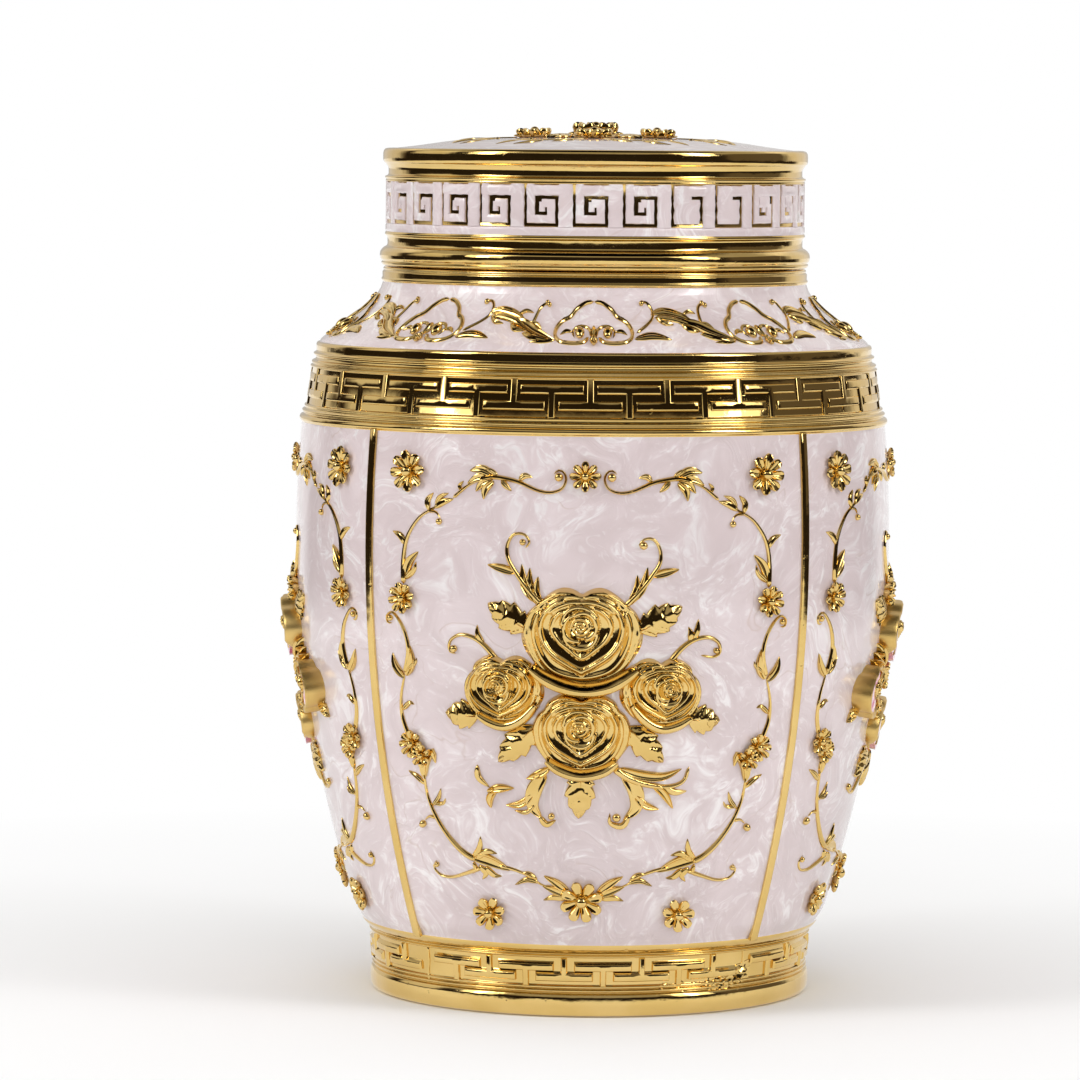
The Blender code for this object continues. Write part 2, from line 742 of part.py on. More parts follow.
def make_body(urn, cutters, enamel, gilt):
    """The urn itself: barrel, shoulder, collar and neck in one casting."""
    body = turned("urn_body", body_outline(), OUTSIDE_STEPS, OUTSIDE_START, enamel, urn)
    relief = Relief("body_relief", gilt)
    add_base_frets(relief)
    add_flaw(relief)
    add_band_frets(relief)
    add_ribs(relief)
    add_panels(relief)
    add_shoulder_scrolls(relief)
    join_relief(body, relief.collection, BODY_FACETS_KEPT)
    cut_out(body, turned("body_cavity", body_cavity(), CAVITY_STEPS, CAVITY_START, gilt, cutters))


def make_lid(urn, cutters, enamel, gilt):
    """The lid, which rests on the collar and lifts off."""
    lid = turned("lid", lid_outline(), OUTSIDE_STEPS, OUTSIDE_START, enamel, urn)
    relief = Relief("lid_relief", gilt)
    add_keys(relief)
    add_lid_flowers(relief)
    join_relief(lid, relief.collection, LID_FACETS_KEPT)
    cut_out(lid, turned("lid_cavity", lid_cavity(), CAVITY_STEPS, CAVITY_START, gilt, cutters))


def main():
    """Builds the urn and its lid."""
    clear_scene()
    urn = fresh_collection("cremation_urn")
    cutters = fresh_collection("cutters")
    body_enamel = principled("body_enamel", (0.68, 0.58, 0.60), 0.0, 0.18)
    lid_enamel = principled("lid_enamel", (0.68, 0.58, 0.60), 0.0, 0.18)
    gilt = principled("gilt", (0.80, 0.52, 0.17), 1.0, 0.12)
    make_body(urn, cutters, body_enamel, gilt)
    make_lid(urn, cutters, lid_enamel, gilt)


main()
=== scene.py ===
"""Looks of a cremation urn: gilt metal, pearl enamel, cast roses, vines, scrolls and frets.

Heights are millimetres above the foot. Relief is drawn flat in millimetres, as x along the wall,
y up it and z out from it, and is then bent round the wall in metres. The front faces -Y.
"""

import logging
import math
from dataclasses import dataclass, replace
from enum import Enum
from typing import Callable, ClassVar, Iterable, Sequence

import bpy
import numpy as np
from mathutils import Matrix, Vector

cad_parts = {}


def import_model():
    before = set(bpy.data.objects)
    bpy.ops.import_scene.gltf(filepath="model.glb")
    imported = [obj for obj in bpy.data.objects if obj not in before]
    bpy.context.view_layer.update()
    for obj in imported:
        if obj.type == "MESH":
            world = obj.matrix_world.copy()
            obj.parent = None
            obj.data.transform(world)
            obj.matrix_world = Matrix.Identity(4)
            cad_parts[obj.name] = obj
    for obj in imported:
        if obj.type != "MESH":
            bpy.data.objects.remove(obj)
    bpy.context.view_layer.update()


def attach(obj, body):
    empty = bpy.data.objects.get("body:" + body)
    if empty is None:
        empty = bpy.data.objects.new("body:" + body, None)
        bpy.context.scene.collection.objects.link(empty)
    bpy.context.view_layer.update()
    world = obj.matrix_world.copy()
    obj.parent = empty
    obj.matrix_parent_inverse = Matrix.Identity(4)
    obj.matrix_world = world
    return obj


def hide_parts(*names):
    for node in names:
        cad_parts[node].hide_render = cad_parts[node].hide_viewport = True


LOG = logging.getLogger("urn")
MM = 0.001
QUARTER = math.pi / 2
BODY_WALL = 2.2  # thickness of the hollow body's wall
LID_GROUND = 60.65  # radius of the sunk ground of the lid's band
SOFTENING = 0.22  # how far from a turned corner its rounding starts
ROOT = 0.6  # how deep relief goes into its wall
MERGE = 0.0004
CREASE = math.radians(38)
WHITE = (1.0, 1.0, 1.0, 1.0)
WARM_DARK = (1.0, 0.72, 0.5, 1.0)

Array = np.ndarray
Colour = tuple[float, float, float, float]
Piece = bpy.types.Object
Point = Sequence[float]
Points = Sequence[Point]


def shoulder_radius(height: Array) -> Array:
    """Outer radius of the hollow-curved shoulder."""
    share = np.clip((height - 190.4) / 17.1, 0.0, 1.0)
    return 62.0 + 18.5 * (1 - share) ** 1.6


class Wall(Enum):
    """The walls that carry relief, each with its outer radius at a height."""

    LOWER_BAND = (lambda height: 63.5 + 0.08 * (height - 9.6),)
    BARREL = (lambda height: 87.1 - 0.0015 * (height - 134.0) ** 2,)
    UPPER_BAND = (lambda height: 83.9 - 0.151 * (height - 171.8),)
    SHOULDER = (shoulder_radius,)
    LID_BAND = (lambda height: LID_GROUND + 0.0 * height,)

    def radius(self, height: "Array | float") -> "Array | float":
        """Radius of this wall at each height."""
        return self.value[0](height)


def smooth_curve(points: Points, steps: int) -> Array:
    """Even steps along a smooth curve through points.

    Args:
        points: the places that the curve passes, in order.
        steps: how many equal steps to take along it.
    Returns:
        steps + 1 places, one in each row.
    """
    given = np.array(points, float)
    padded = np.vstack([2 * given[0] - given[1], given, 2 * given[-1] - given[-2]])
    share = np.linspace(0, 1, 14, endpoint=False)[:, None]
    runs = []
    for before, start, end, after in zip(padded, padded[1:], padded[2:], padded[3:]):
        bend = (2 * before - 5 * start + 4 * end - after) * share**2
        twist = (3 * start - before - 3 * end + after) * share**3
        runs.append(0.5 * (2 * start + (end - before) * share + bend + twist))
    fine = np.vstack([*runs, given[-1:]])
    length = np.concatenate([[0], np.cumsum(np.linalg.norm(np.diff(fine, axis=0), axis=1))])
    wanted = np.linspace(0, length[-1], steps + 1)
    return np.stack([np.interp(wanted, length, fine[:, axis]) for axis in range(fine.shape[1])], axis=1)


def square_path(points: Points, longest: float) -> Array:
    """The same straight runs and square corners, with extra places so that no step is too long."""
    places = [np.array(points[0], float)]
    for start, end in zip(points, points[1:]):
        run = np.array(end, float) - np.array(start, float)
        steps = max(1, math.ceil(np.linalg.norm(run) / longest))
        places += [np.array(start, float) + run * (step + 1) / steps for step in range(steps)]
    return np.array(places)


def softened(profile: Points, radius: float) -> list[tuple[float, float]]:
    """Rounds the corners of a turned profile.

    Args:
        profile: the profile's corners, as radius and height.
        radius: how far before and after each corner the rounding starts.
    Returns:
        The profile with three places for each corner that has room for them.
    """
    places = [tuple(profile[0])]
    for before, corner, after in zip(profile, profile[1:], profile[2:]):
        here = np.array(corner, float)
        back = np.array(before, float) - here
        ahead = np.array(after, float) - here
        reach = min(radius, 0.4 * np.linalg.norm(back), 0.4 * np.linalg.norm(ahead))
        start = here + back / np.linalg.norm(back) * reach
        end = here + ahead / np.linalg.norm(ahead) * reach
        places += [tuple(start), tuple(0.25 * start + 0.5 * here + 0.25 * end), tuple(end)]
    return [*places, tuple(profile[-1])]


def on_side(points: Points, side: int) -> list[Point]:
    """The same places on the right (side 1) or mirrored to the left (side -1)."""
    return [(side * x, y) for x, y in points]


def sides_of(x: float) -> tuple[int, ...]:
    """Both sides, or only one where a thing lies on the middle line."""
    return (-1, 1) if x else (1,)


def both_sides(half: Points) -> tuple[Point, ...]:
    """Places from the left edge to the middle, and their mirror image on to the right edge."""
    return (*half, *((-x, y) for x, y in reversed(half[:-1])))


def swell(steps: int, start: float = 0.15, end: float = 0.15) -> Array:
    """Shares from 0 up to 1 and back to 0, over the first and the last part of a stroke."""
    along = np.linspace(0, 1, steps + 1)
    rise = np.clip(along / max(start, 1e-6), 0, 1)
    fall = np.clip((1 - along) / max(end, 1e-6), 0, 1)
    return np.sin(np.minimum(rise, fall) * math.pi / 2)


class Section(Enum):
    """Cross-sections of a stroke, as places across it and out from it, counted round."""

    ROUND = tuple((math.cos(turn), math.sin(turn)) for turn in np.linspace(math.pi, -math.pi, 11)[:-1])
    RIDGE = (*both_sides(((-1.0, -0.2), (-0.9, 0.42), (-0.62, 0.8), (-0.3, 0.9), (0.0, 0.78))), (0.0, -1.0))
    DISH = (
        *both_sides(
            [(-1.0, -0.3), (-0.98, 0.55), (-0.88, 0.94), (-0.72, 1.0), (-0.56, 0.74), (-0.3, 0.52), (0, 0.46)]
        ),
        (0.0, -1.0),
    )
    PILLOW = both_sides(((-1.0, -1.0), (-1.0, 0.3), (-0.86, 0.72), (-0.5, 0.95), (0.0, 1.0)))
    SHELF = (
        *((-1.0, -1.0), (-1.0, 0.6), (-0.93, 0.7), (-0.12, 0.96), (0.0, 1.0)),
        *((0.12, 1.0), (0.74, 0.88), (0.92, 0.72), (1.0, 0.35), (1.0, -1.0)),
    )


def deselect() -> None:
    """Nothing stays selected, so that an operator acts only on what comes next."""
    if bpy.context.object and bpy.context.object.mode != "OBJECT":
        bpy.ops.object.mode_set(mode="OBJECT")
    bpy.ops.object.select_all(action="DESELECT")


def select_only(piece: Piece) -> None:
    """Makes one piece the selected and active one."""
    deselect()
    piece.select_set(True)
    bpy.context.view_layer.objects.active = piece


def edit_faces(piece: Piece, chosen: Callable[[bpy.types.MeshPolygon], bool]) -> None:
    """Goes into edit mode with some of a piece's faces selected.

    Args:
        piece: the piece to edit.
        chosen: says whether a face is selected.
    """
    select_only(piece)
    bpy.ops.object.mode_set(mode="EDIT")
    bpy.ops.mesh.select_mode(type="FACE")
    bpy.ops.mesh.select_all(action="DESELECT")
    bpy.ops.object.mode_set(mode="OBJECT")
    for face in piece.data.polygons:
        face.select = chosen(face)
    bpy.ops.object.mode_set(mode="EDIT")


def corners(piece: Piece) -> Array:
    """The places of a piece's corners, one in each row."""
    places = np.empty(len(piece.data.vertices) * 3, np.float32)
    piece.data.vertices.foreach_get("co", places)
    return places.reshape(-1, 3).astype(float)


def set_corners(piece: Piece, places: Array) -> None:
    """Moves a piece's corners to new places."""
    piece.data.vertices.foreach_set("co", places.astype(np.float32).ravel())
    piece.data.update()


def close_form(piece: Piece, merge: float = MERGE, crease: float = CREASE) -> Piece:
    """Merges a form's seam and ends, turns its faces outwards and shades it smooth.

    Args:
        piece: the form to close.
        merge: how near two corners are before they become one.
        crease: the angle past which an edge stays crisp.
    Returns:
        The same piece.
    """
    select_only(piece)
    bpy.ops.object.mode_set(mode="EDIT")
    bpy.ops.mesh.select_all(action="SELECT")
    bpy.ops.mesh.remove_doubles(threshold=merge)
    bpy.ops.mesh.normals_make_consistent(inside=False)
    bpy.ops.object.mode_set(mode="OBJECT")
    bpy.ops.object.shade_smooth_by_angle(angle=crease)
    return piece


def copy_of(piece: Piece, name: str) -> Piece:
    """A copy of a piece with a mesh of its own."""
    twin = piece.copy()
    twin.data = piece.data.copy()
    twin.name = name
    bpy.context.scene.collection.objects.link(twin)
    return twin


def mirror_form(piece: Piece) -> Piece:
    """Turns a flat form into its mirror image across x = 0, with its faces still outwards."""
    places = corners(piece)
    places[:, 0] *= -1
    set_corners(piece, places)
    piece.data.flip_normals()
    return piece


def join_forms(forms: Sequence[Piece], name: str) -> Piece:
    """Joins several forms into one object."""
    deselect()
    for form in forms:
        form.select_set(True)
    bpy.context.view_layer.objects.active = forms[0]
    if len(forms) > 1:
        bpy.ops.object.join()
    joined = bpy.context.object
    joined.name = name
    joined.data.name = name
    return joined


def bend_round(piece: Piece, wall: Wall, angle: float) -> Piece:
    """Bends a flat form round a wall, from millimetres to metres.

    Args:
        piece: the flat form.
        wall: the wall that it lies on.
        angle: where its x = 0 comes, counted from the front towards +X.
    Returns:
        The same piece, in place.
    """
    along, height, out = corners(piece).T
    radius = wall.radius(height)
    step = 0.2
    slope = (wall.radius(height + step) - wall.radius(height - step)) / (2 * step)
    length = np.hypot(1.0, slope)
    turn = angle + along / radius
    reach = radius + out / length
    places = np.stack([reach * np.sin(turn), -reach * np.cos(turn), height - out * slope / length], axis=1)
    set_corners(piece, places * MM)
    return piece


def grid_form(along: int, across: int, place: Callable[[Array, Array], Array]) -> Piece:
    """Adds a grid and moves its corners to their places on a form.

    Args:
        along: steps along the form.
        across: steps across it or round it.
        place: gives the places of the corners from their step along and their step across.
    Returns:
        The new form, with any seam still to be merged.
    """
    deselect()
    bpy.ops.mesh.primitive_grid_add(x_subdivisions=along, y_subdivisions=across, size=1)
    form = bpy.context.object
    flat = corners(form)
    first = np.rint((flat[:, 0] + 0.5) * along).astype(int)
    second = np.rint((flat[:, 1] + 0.5) * across).astype(int)
    set_corners(form, place(first, second))
    return form


@dataclass(frozen=True)
class Stroke:
    """A raised line along a path.

    Attributes:
        path: the middle of the line, in even steps.
        left: half width on the left of each place.
        right: half width on the right of each place.
        height: how far it stands out at each place.
        section: its cross-section.
        mitred: whether the path has square corners.
        base: how far out the ground under it lies.
    """

    path: Array
    left: Array
    right: Array
    height: Array
    section: Section = Section.ROUND
    mitred: bool = False
    base: float = -0.1

    def sides(self) -> Array:
        """Directions to the right of the path at each place, longer at a mitred corner."""
        runs = np.diff(self.path, axis=0)
        runs = runs / np.maximum(np.linalg.norm(runs, axis=1), 1e-9)[:, None]
        before = np.vstack([runs[:1], runs])
        after = np.vstack([runs, runs[-1:]])
        middle = before + after
        middle = middle / np.maximum(np.linalg.norm(middle, axis=1), 1e-9)[:, None]
        across = np.stack([middle[:, 1], -middle[:, 0]], axis=1)
        if self.mitred:
            square = np.stack([before[:, 1], -before[:, 0]], axis=1)
            across = across / np.maximum((across * square).sum(axis=1), 0.3)[:, None]
        return across

    def model(self) -> Piece:
        """Makes the stroke's closed form."""
        section = np.array(self.section.value)
        sides = self.sides()
        steps = len(self.path) - 1
        widest = max(self.left.max(), self.right.max(), 1e-6)
        depth = ROOT * np.clip(3 * np.maximum(self.left, self.right) / widest, 0, 1)

        def place(first: Array, second: Array) -> Array:
            """Places of the corners."""
            across, out = section[second % len(section)].T
            width = np.where(across < 0, self.left[first], self.right[first])
            flat = self.path[first] + sides[first] * (across * width)[:, None]
            rise = np.where(out < 0, out * depth[first], out * self.height[first])
            return np.column_stack([flat, self.base + rise])

        return grid_form(steps, len(section), place)


class Pattern:
    """Relief drawn flat: strokes, balls, leaves and flowers, joined into one form at the end."""

    def __init__(self) -> None:
        """Starts with nothing drawn."""
        self.forms: list[Piece] = []

    def take(self, form: Piece) -> None:
        """Adds a form to the pattern."""
        self.forms.append(form)

    def stem(
        self, points: Points, thick: float, thin: float = 0.35, base: float = -0.1, rise: float = 1.0
    ) -> None:
        """A round stem that tapers towards its end.

        Args:
            points: the places that it passes.
            thick: its half width at the start.
            thin: its half width at the end, as a share of that.
            base: how far out it starts.
            rise: its height, as a share of its half width.
        """
        length = np.linalg.norm(np.diff(np.array(points, float), axis=0), axis=1).sum()
        steps = int(np.clip(length / 0.9, 8, 60))
        path = smooth_curve(points, steps)
        half = thick * np.linspace(1, thin, steps + 1) * swell(steps, 0.04, 0.04)
        self.take(Stroke(path, half, half, half * rise + 0.25 * thick, base=base).model())

    def blade(
        self, points: Points, width: float, lift: float = 0.9, widest: float = 0.4, base: float = -0.1
    ) -> None:
        """A narrow leaf with a ridge, pointed at both ends.

        Args:
            points: its foot, the places that it passes and its tip.
            width: half its greatest width.
            lift: how far its ridge stands out.
            widest: where along it the leaf is widest.
            base: how far out its edge lies.
        """
        steps = 14
        path = smooth_curve(points, steps)
        along = np.linspace(0, 1, steps + 1)
        power = math.log(0.5) / math.log(widest)
        half = width * np.sin(math.pi * along**power) ** 0.8
        height = lift * np.sin(math.pi * along**power) ** 0.5
        section = Section.DISH if width > 1.15 else Section.RIDGE
        self.take(Stroke(path, half, half, height, section, base=base).model())

    def ball(self, x: float, y: float, radius: float, lift: float = 0.0) -> None:
        """A ball set into the ground."""
        deselect()
        place = (x, y, lift + 0.25 * radius)
        bpy.ops.mesh.primitive_uv_sphere_add(segments=14, ring_count=9, radius=radius, location=place)
        bpy.ops.object.transform_apply(location=True, rotation=False, scale=False)
        self.take(bpy.context.object)

    def flower(
        self, x: float, y: float, radius: float, petals: int = 8, lift: float = 1.8, turn: float = 0.0
    ) -> None:
        """A flower with pointed, hollowed petals round a ball.

        Args:
            x: where its middle comes.
            y: where its middle comes.
            radius: its half width.
            petals: how many petals it has.
            lift: how far the petals stand out.
            turn: how far it is turned.
        """
        around = petals * 10
        seam_width = 0.26
        hollow_width = 0.15
        profile = [(0.0, 0.35), (0.14, 0.36), (0.24, 0.42), (0.36, 0.6), (0.5, 0.8), (0.64, 0.93)]
        profile += [(0.78, 1.0), (0.88, 0.99), (0.95, 0.9), (0.99, 0.66), (0.93, 0.4), (0.72, 0.1)]
        profile += [(0.62, -0.5), (0.0, -0.5)]
        reach, out = np.array(profile).T

        def place(first: Array, second: Array) -> Array:
            """Places of the corners."""
            angle = 2 * math.pi * first / around
            lobe = np.abs(np.cos(angle * petals / 2))
            edge = 0.5 + 0.5 * np.clip(lobe, 0, 1) ** 0.42
            share = np.clip(reach[second], 0, 1)
            distance = radius * reach[second] * (1 - (1 - edge) * share**2)
            seam = 1 - 0.7 * np.exp(-((lobe / seam_width) ** 2)) * np.clip(4 * share - 0.6, 0, 1)
            within = np.clip(4 * share - 0.8, 0, 1) * np.clip(8 - 8 * share, 0, 1)
            hollow = 0.2 * np.exp(-(((1 - lobe) / hollow_width) ** 2)) * within
            rise = out[second] * lift * np.where(out[second] > 0, seam - hollow, 1.0)
            heading = angle + turn
            return np.column_stack([x + distance * np.cos(heading), y + distance * np.sin(heading), rise])

        self.take(grid_form(around, len(profile) - 1, place))
        self.ball(x, y, radius * 0.26, lift * 0.5)

    def leaf(
        self, foot: Point, tip: Point, width: float, lift: float = 1.7, veins: int = 4, base: float = 0.2
    ) -> None:
        """A broad leaf with a saw edge, a rib and veins.

        Args:
            foot: where it starts.
            tip: where its point is.
            width: half its greatest width.
            lift: how far its middle stands out.
            veins: how many pairs of veins it has.
            base: how far out its edge lies.
        """
        steps = veins * 10
        across = 24
        slant = 0.9
        groove_width = 0.13
        start = np.array(foot, float)
        run = np.array(tip, float) - start
        side = np.array([-run[1], run[0]]) / np.linalg.norm(run)

        def place(first: Array, second: Array) -> Array:
            """Places of the corners."""
            along = first / steps
            turn = 2 * math.pi * second / across
            share = np.cos(turn)
            out = np.abs(share)
            upper = np.sin(turn) > -1e-6
            half = width * np.sin(math.pi * along**0.72) ** 0.9
            tooth = (along * veins + 0.04) % 1
            edge = half * (1 + 0.3 * (tooth - 0.55) * out**3)
            vein = np.abs((along * veins - slant * out + 1.5) % 1 - 0.5)
            ends = np.sin(math.pi * np.clip(along, 0, 1)) ** 0.4
            groove = np.exp(-((vein / groove_width) ** 2)) * np.clip(5 * out - 0.5, 0, 1)
            roof = lift * (1 - 0.7 * out**1.5) * (1 - 0.5 * groove)
            rise = base + ends * np.where(upper, roof, -ROOT - base)
            rise = np.where(out > 0.999, base * ends, rise)
            flat = start + run * along[:, None] + side * (edge * share)[:, None]
            flat += run * (0.07 * out * np.sin(math.pi * along))[:, None]
            return np.column_stack([flat, rise])

        self.take(grid_form(steps, across, place))
        self.blade([foot, start + run * 0.5, start + run * 0.96], 0.3, lift * 1.1 + base, 0.3)

    def finish(self, name: str, crease: float = CREASE) -> Piece:
        """Joins all that is drawn into one closed form."""
        return close_form(join_forms(self.forms, name), crease=crease)


def round_bud(points: Points) -> list[tuple[float, float]]:
    """Turns places round a rose's bud into headings in degrees, rising along the rim, and distances."""
    headings = np.degrees(np.unwrap([math.atan2(y, x) for x, y in points]))
    return [(float(heading), math.hypot(*place)) for heading, place in zip(headings, points)]


@dataclass(frozen=True)
class Petal:
    """One petal of a rose: a sheet that ends in a rolled rim and drops beyond it.

    Attributes:
        rim: its rim round the bud, as degrees and shares of the heart's half width.
        height: how far it stands out, as a share of the rose's height.
        climb: how much higher its far end is than its near end, as such a share.
        bead: how far its rolled rim stands proud, as such a share.
        crisp: how wide the drop outside the rim is, as a share of the heart's half width.
        cup: how steeply it falls from the rim towards the bud.
        roll: how wide its rolled rim is, as a share of the heart's half width.
    """

    rim: Points
    height: float
    climb: float = 0.0
    bead: float = 0.05
    crisp: float = 0.06
    cup: float = 0.35
    roll: float = 0.045

    def surface(self, heading: Array, distance: Array) -> Array:
        """Height of the petal's surface round the bud, far down where it has none.

        Args:
            heading: directions from the bud, in degrees.
            distance: distances from it, in shares of the heart's half width.
        Returns:
            The heights, as shares of the rose's.
        """
        edge = smooth_curve(self.rim, 40)
        start, end = edge[0, 0], edge[-1, 0]
        turn = (heading - start + 60) % 360 + start - 60
        radius = np.interp(turn, edge[:, 0], edge[:, 1])
        share = np.clip((turn - start) / (end - start), 0, 1)
        aside = np.radians(np.maximum(np.maximum(start - turn, turn - end), 0)) * distance
        over = np.maximum(distance - radius, 0)
        roll = np.exp(-(((distance - radius + 0.04) / self.roll) ** 2))
        hollow = self.cup * np.clip(radius - distance, 0, 0.3)
        body = self.height + self.climb * (share - 0.5) + self.bead * roll - hollow
        return body - 0.3 * ((over / self.crisp) ** 2 + (aside / self.crisp) ** 2)


@dataclass(frozen=True)
class Rose:
    """A full rose seen from above: a swirling bud, a heart of two petals, and outer petals.

    Attributes:
        bud: the middle of the bud.
        heart: half the width of the heart of petals.
        tip: how far below the bud the heart's point is.
        reach: half the width of the whole rose.
        lean: how far its middle lies to the right of the bud.
        lift: how far the bud stands out.
        around: steps round it.
        rings: steps from the bud to its edge.
        inner: the rims and the heights of the petals inside the heart.
        body: height of the rose where no petal covers it, as a share of the bud's.
        swirl: how far the turns of the bud stand proud, as such a share.
        swirl_reach: how far out they go, as a share of the heart's half width.
        droop: how quickly the whole rose falls away from the bud.
        rim_drop: how far it drops at its very edge.
    """

    bud: tuple[float, float]
    heart: float
    tip: float
    reach: float
    lean: float
    lift: float
    around: int = 150
    rings: int = 72
    inner: tuple[tuple[Points, float], ...] = (
        ([(-64, 0.37), (0, 0.41), (60, 0.42), (118, 0.36)], 0.98),
        ([(98, 0.33), (160, 0.43), (215, 0.46), (262, 0.4)], 0.94),
        ([(30, 0.48), (80, 0.52), (130, 0.56), (172, 0.5)], 0.9),
        ([(196, 0.46), (232, 0.56), (285, 0.6), (334, 0.47)], 0.91),
        ([(126, 0.54), (154, 0.7), (182, 0.76), (210, 0.7), (242, 0.68), (268, 0.84)], 0.85),
        ([(271, 0.86), (301, 0.72), (336, 0.74), (363, 0.78), (390, 0.7), (414, 0.6)], 0.83),
    )
    body: float = 0.42
    swirl: float = 0.04
    swirl_reach: float = 0.27
    droop: float = 0.09
    rim_drop: float = 0.34

    def pair(self, rim: Points, height: float, bead: float, crisp: float, cup: float) -> list[Petal]:
        """A petal on the left, whose rim is given as places round the bud, and its mirror image."""
        right = [(-x, y) for x, y in reversed(rim)]
        return [
            Petal(round_bud(rim), height, 0.02, bead, crisp, cup),
            Petal(round_bud(right), height, -0.02, bead, crisp, cup),
        ]

    def fold(self, share: float, height: float) -> list[Petal]:
        """Two broad outer petals, whose edges lie at a share of the way from the heart to the rose's edge."""
        side = 1 + share * (self.reach / self.heart - 1)
        down = self.tip / self.heart * (1.04 + 0.3 * share)
        rim = [(-0.9 * side, 0.34), (-side, -0.1), (-0.95 * side, -0.52), (-0.66 * side, -0.82 * down)]
        rim += [(-0.28 * side, -0.97 * down), (0.03, -down)]
        return self.pair(rim, height, bead=0.03, crisp=0.1, cup=0.95)

    def petals(self) -> list[Petal]:
        """All the petals, from the bud outwards."""
        tip = self.tip / self.heart
        far = self.reach / self.heart / 1.66
        heart = [(-0.5, 0.68), (-0.86, 0.46), (-1.06, 0.1), (-1.02, -0.3), (-0.84, -0.54 * tip)]
        heart += [(-0.46, -0.8 * tip), (-0.16, -0.95 * tip), (0.03, -1.02 * tip)]
        back = [(24, 0.92), (52, 0.76), (90, 0.66), (128, 0.76), (156, 0.92)]
        rear = [(34, 1.04), (62, 0.9), (90, 0.8), (118, 0.9), (146, 1.04)]
        crown = [(96, 0.84), (112, 0.95), (127, 1.09), (143, 1.18), (158, 1.31 * far)]
        wing = [(146, 1.2), (157, 1.28 * far), (168, 1.42 * far), (180, 1.52 * far), (193, 1.54 * far)]
        sides = []
        for rim, height in ((crown, 0.62), (wing, 0.54)):
            mirrored = [(180 - heading, radius) for heading, radius in reversed(rim)]
            sides += [Petal(edge, height, bead=0.08, crisp=0.1, cup=0.5) for edge in (rim, mirrored)]
        return [
            *[Petal(rim, height, climb=0.03, bead=0.06, cup=0.7) for rim, height in self.inner],
            *self.pair(heart, 0.8, bead=0.1, crisp=0.1, cup=0.8),
            Petal(back, 0.76),
            Petal(rear, 0.69),
            *sides,
            *self.fold(0.4, 0.55),
            *self.fold(0.78, 0.49),
        ]

    def outline(self, heading: Array) -> Array:
        """How far the rose's edge is from the bud at each heading, in shares of the heart's half width."""
        tip = 1.36 * self.tip / self.heart
        far = self.reach / self.heart
        half = [(-90, tip), (-72, tip), (-52, 0.5 * tip + 0.52 * far), (-34, 1.03 * far), (-16, 1.05 * far)]
        half += [(0, 0.98 * far), (14, 0.89 * far), (23, 0.8 * far), (33, 1.25), (45, 1.19), (60, 1.13)]
        half += [(72, 1.02), (82, 0.9), (90, 0.82)]
        whole = np.array([*half, *[(180 - heading, radius) for heading, radius in reversed(half[:-1])]])
        return np.interp((heading + 90) % 360 - 90, *smooth_curve(whole, 160).T)

    def draw(self, pattern: Pattern) -> None:
        """Draws the whole rose as one sheet whose corners lie on the highest petal, with a flat back."""
        petals = self.petals()

        def place(first: Array, second: Array) -> Array:
            """Places of the corners."""
            heading = 360 * first / self.around
            share = np.clip(second / self.rings, 0, 1)
            distance = share * self.outline(heading)
            outer = np.clip((distance - 1) / np.maximum(self.outline(heading) - 1, 0.05), 0, 1)
            side = np.abs(np.cos(np.radians(heading))) ** 1.5
            height = np.full(len(share), self.body)
            for petal in petals:
                height = np.maximum(height, petal.surface(heading, distance))
            swirl = 1.0 + self.swirl * np.cos(2 * math.pi * (distance / 0.1 - heading / 360))
            swirl -= 12 * np.clip(distance - self.swirl_reach, 0, 1)
            height = np.where(distance < self.swirl_reach + 0.04, np.maximum(height, swirl), height)
            ripple = 0.014 * side * np.cos(2 * math.pi * 2.4 * outer) * np.clip(4 * outer, 0, 1)
            height = height + ripple - self.droop * distance**2 - self.rim_drop * share**14
            rise = np.where(second <= self.rings, self.lift * height, -ROOT)
            reach = self.heart * np.where(second <= self.rings, distance, 0)
            x = self.bud[0] + self.lean * share + reach * np.cos(np.radians(heading))
            y = self.bud[1] + reach * np.sin(np.radians(heading))
            edge = second == self.rings + 1
            whole = self.heart * self.outline(heading)
            x = np.where(edge, self.bud[0] + self.lean + whole * np.cos(np.radians(heading)), x)
            y = np.where(edge, self.bud[1] + whole * np.sin(np.radians(heading)), y)
            return np.column_stack([x, y, rise])

        pattern.take(grid_form(self.around, self.rings + 2, place))


@dataclass(frozen=True)
class Lip:
    """A rolled petal edge under a rose, with half its thickness."""

    points: Points
    half: float
    lift: float
    section: Section = Section.SHELF

    def draw(self, pattern: Pattern) -> None:
        """Draws the roll: a sloping upper face over a flat front."""
        steps = 30
        path = smooth_curve(self.points, steps)
        half = self.half * (0.6 + 0.4 * swell(steps, 0.3, 0.3)) * swell(steps, 0.02, 0.02)
        height = self.lift * (0.85 + 0.15 * swell(steps, 0.4, 0.4)) * swell(steps, 0.03, 0.03)
        pattern.take(Stroke(path, half, half, height, self.section, base=0.0).model())


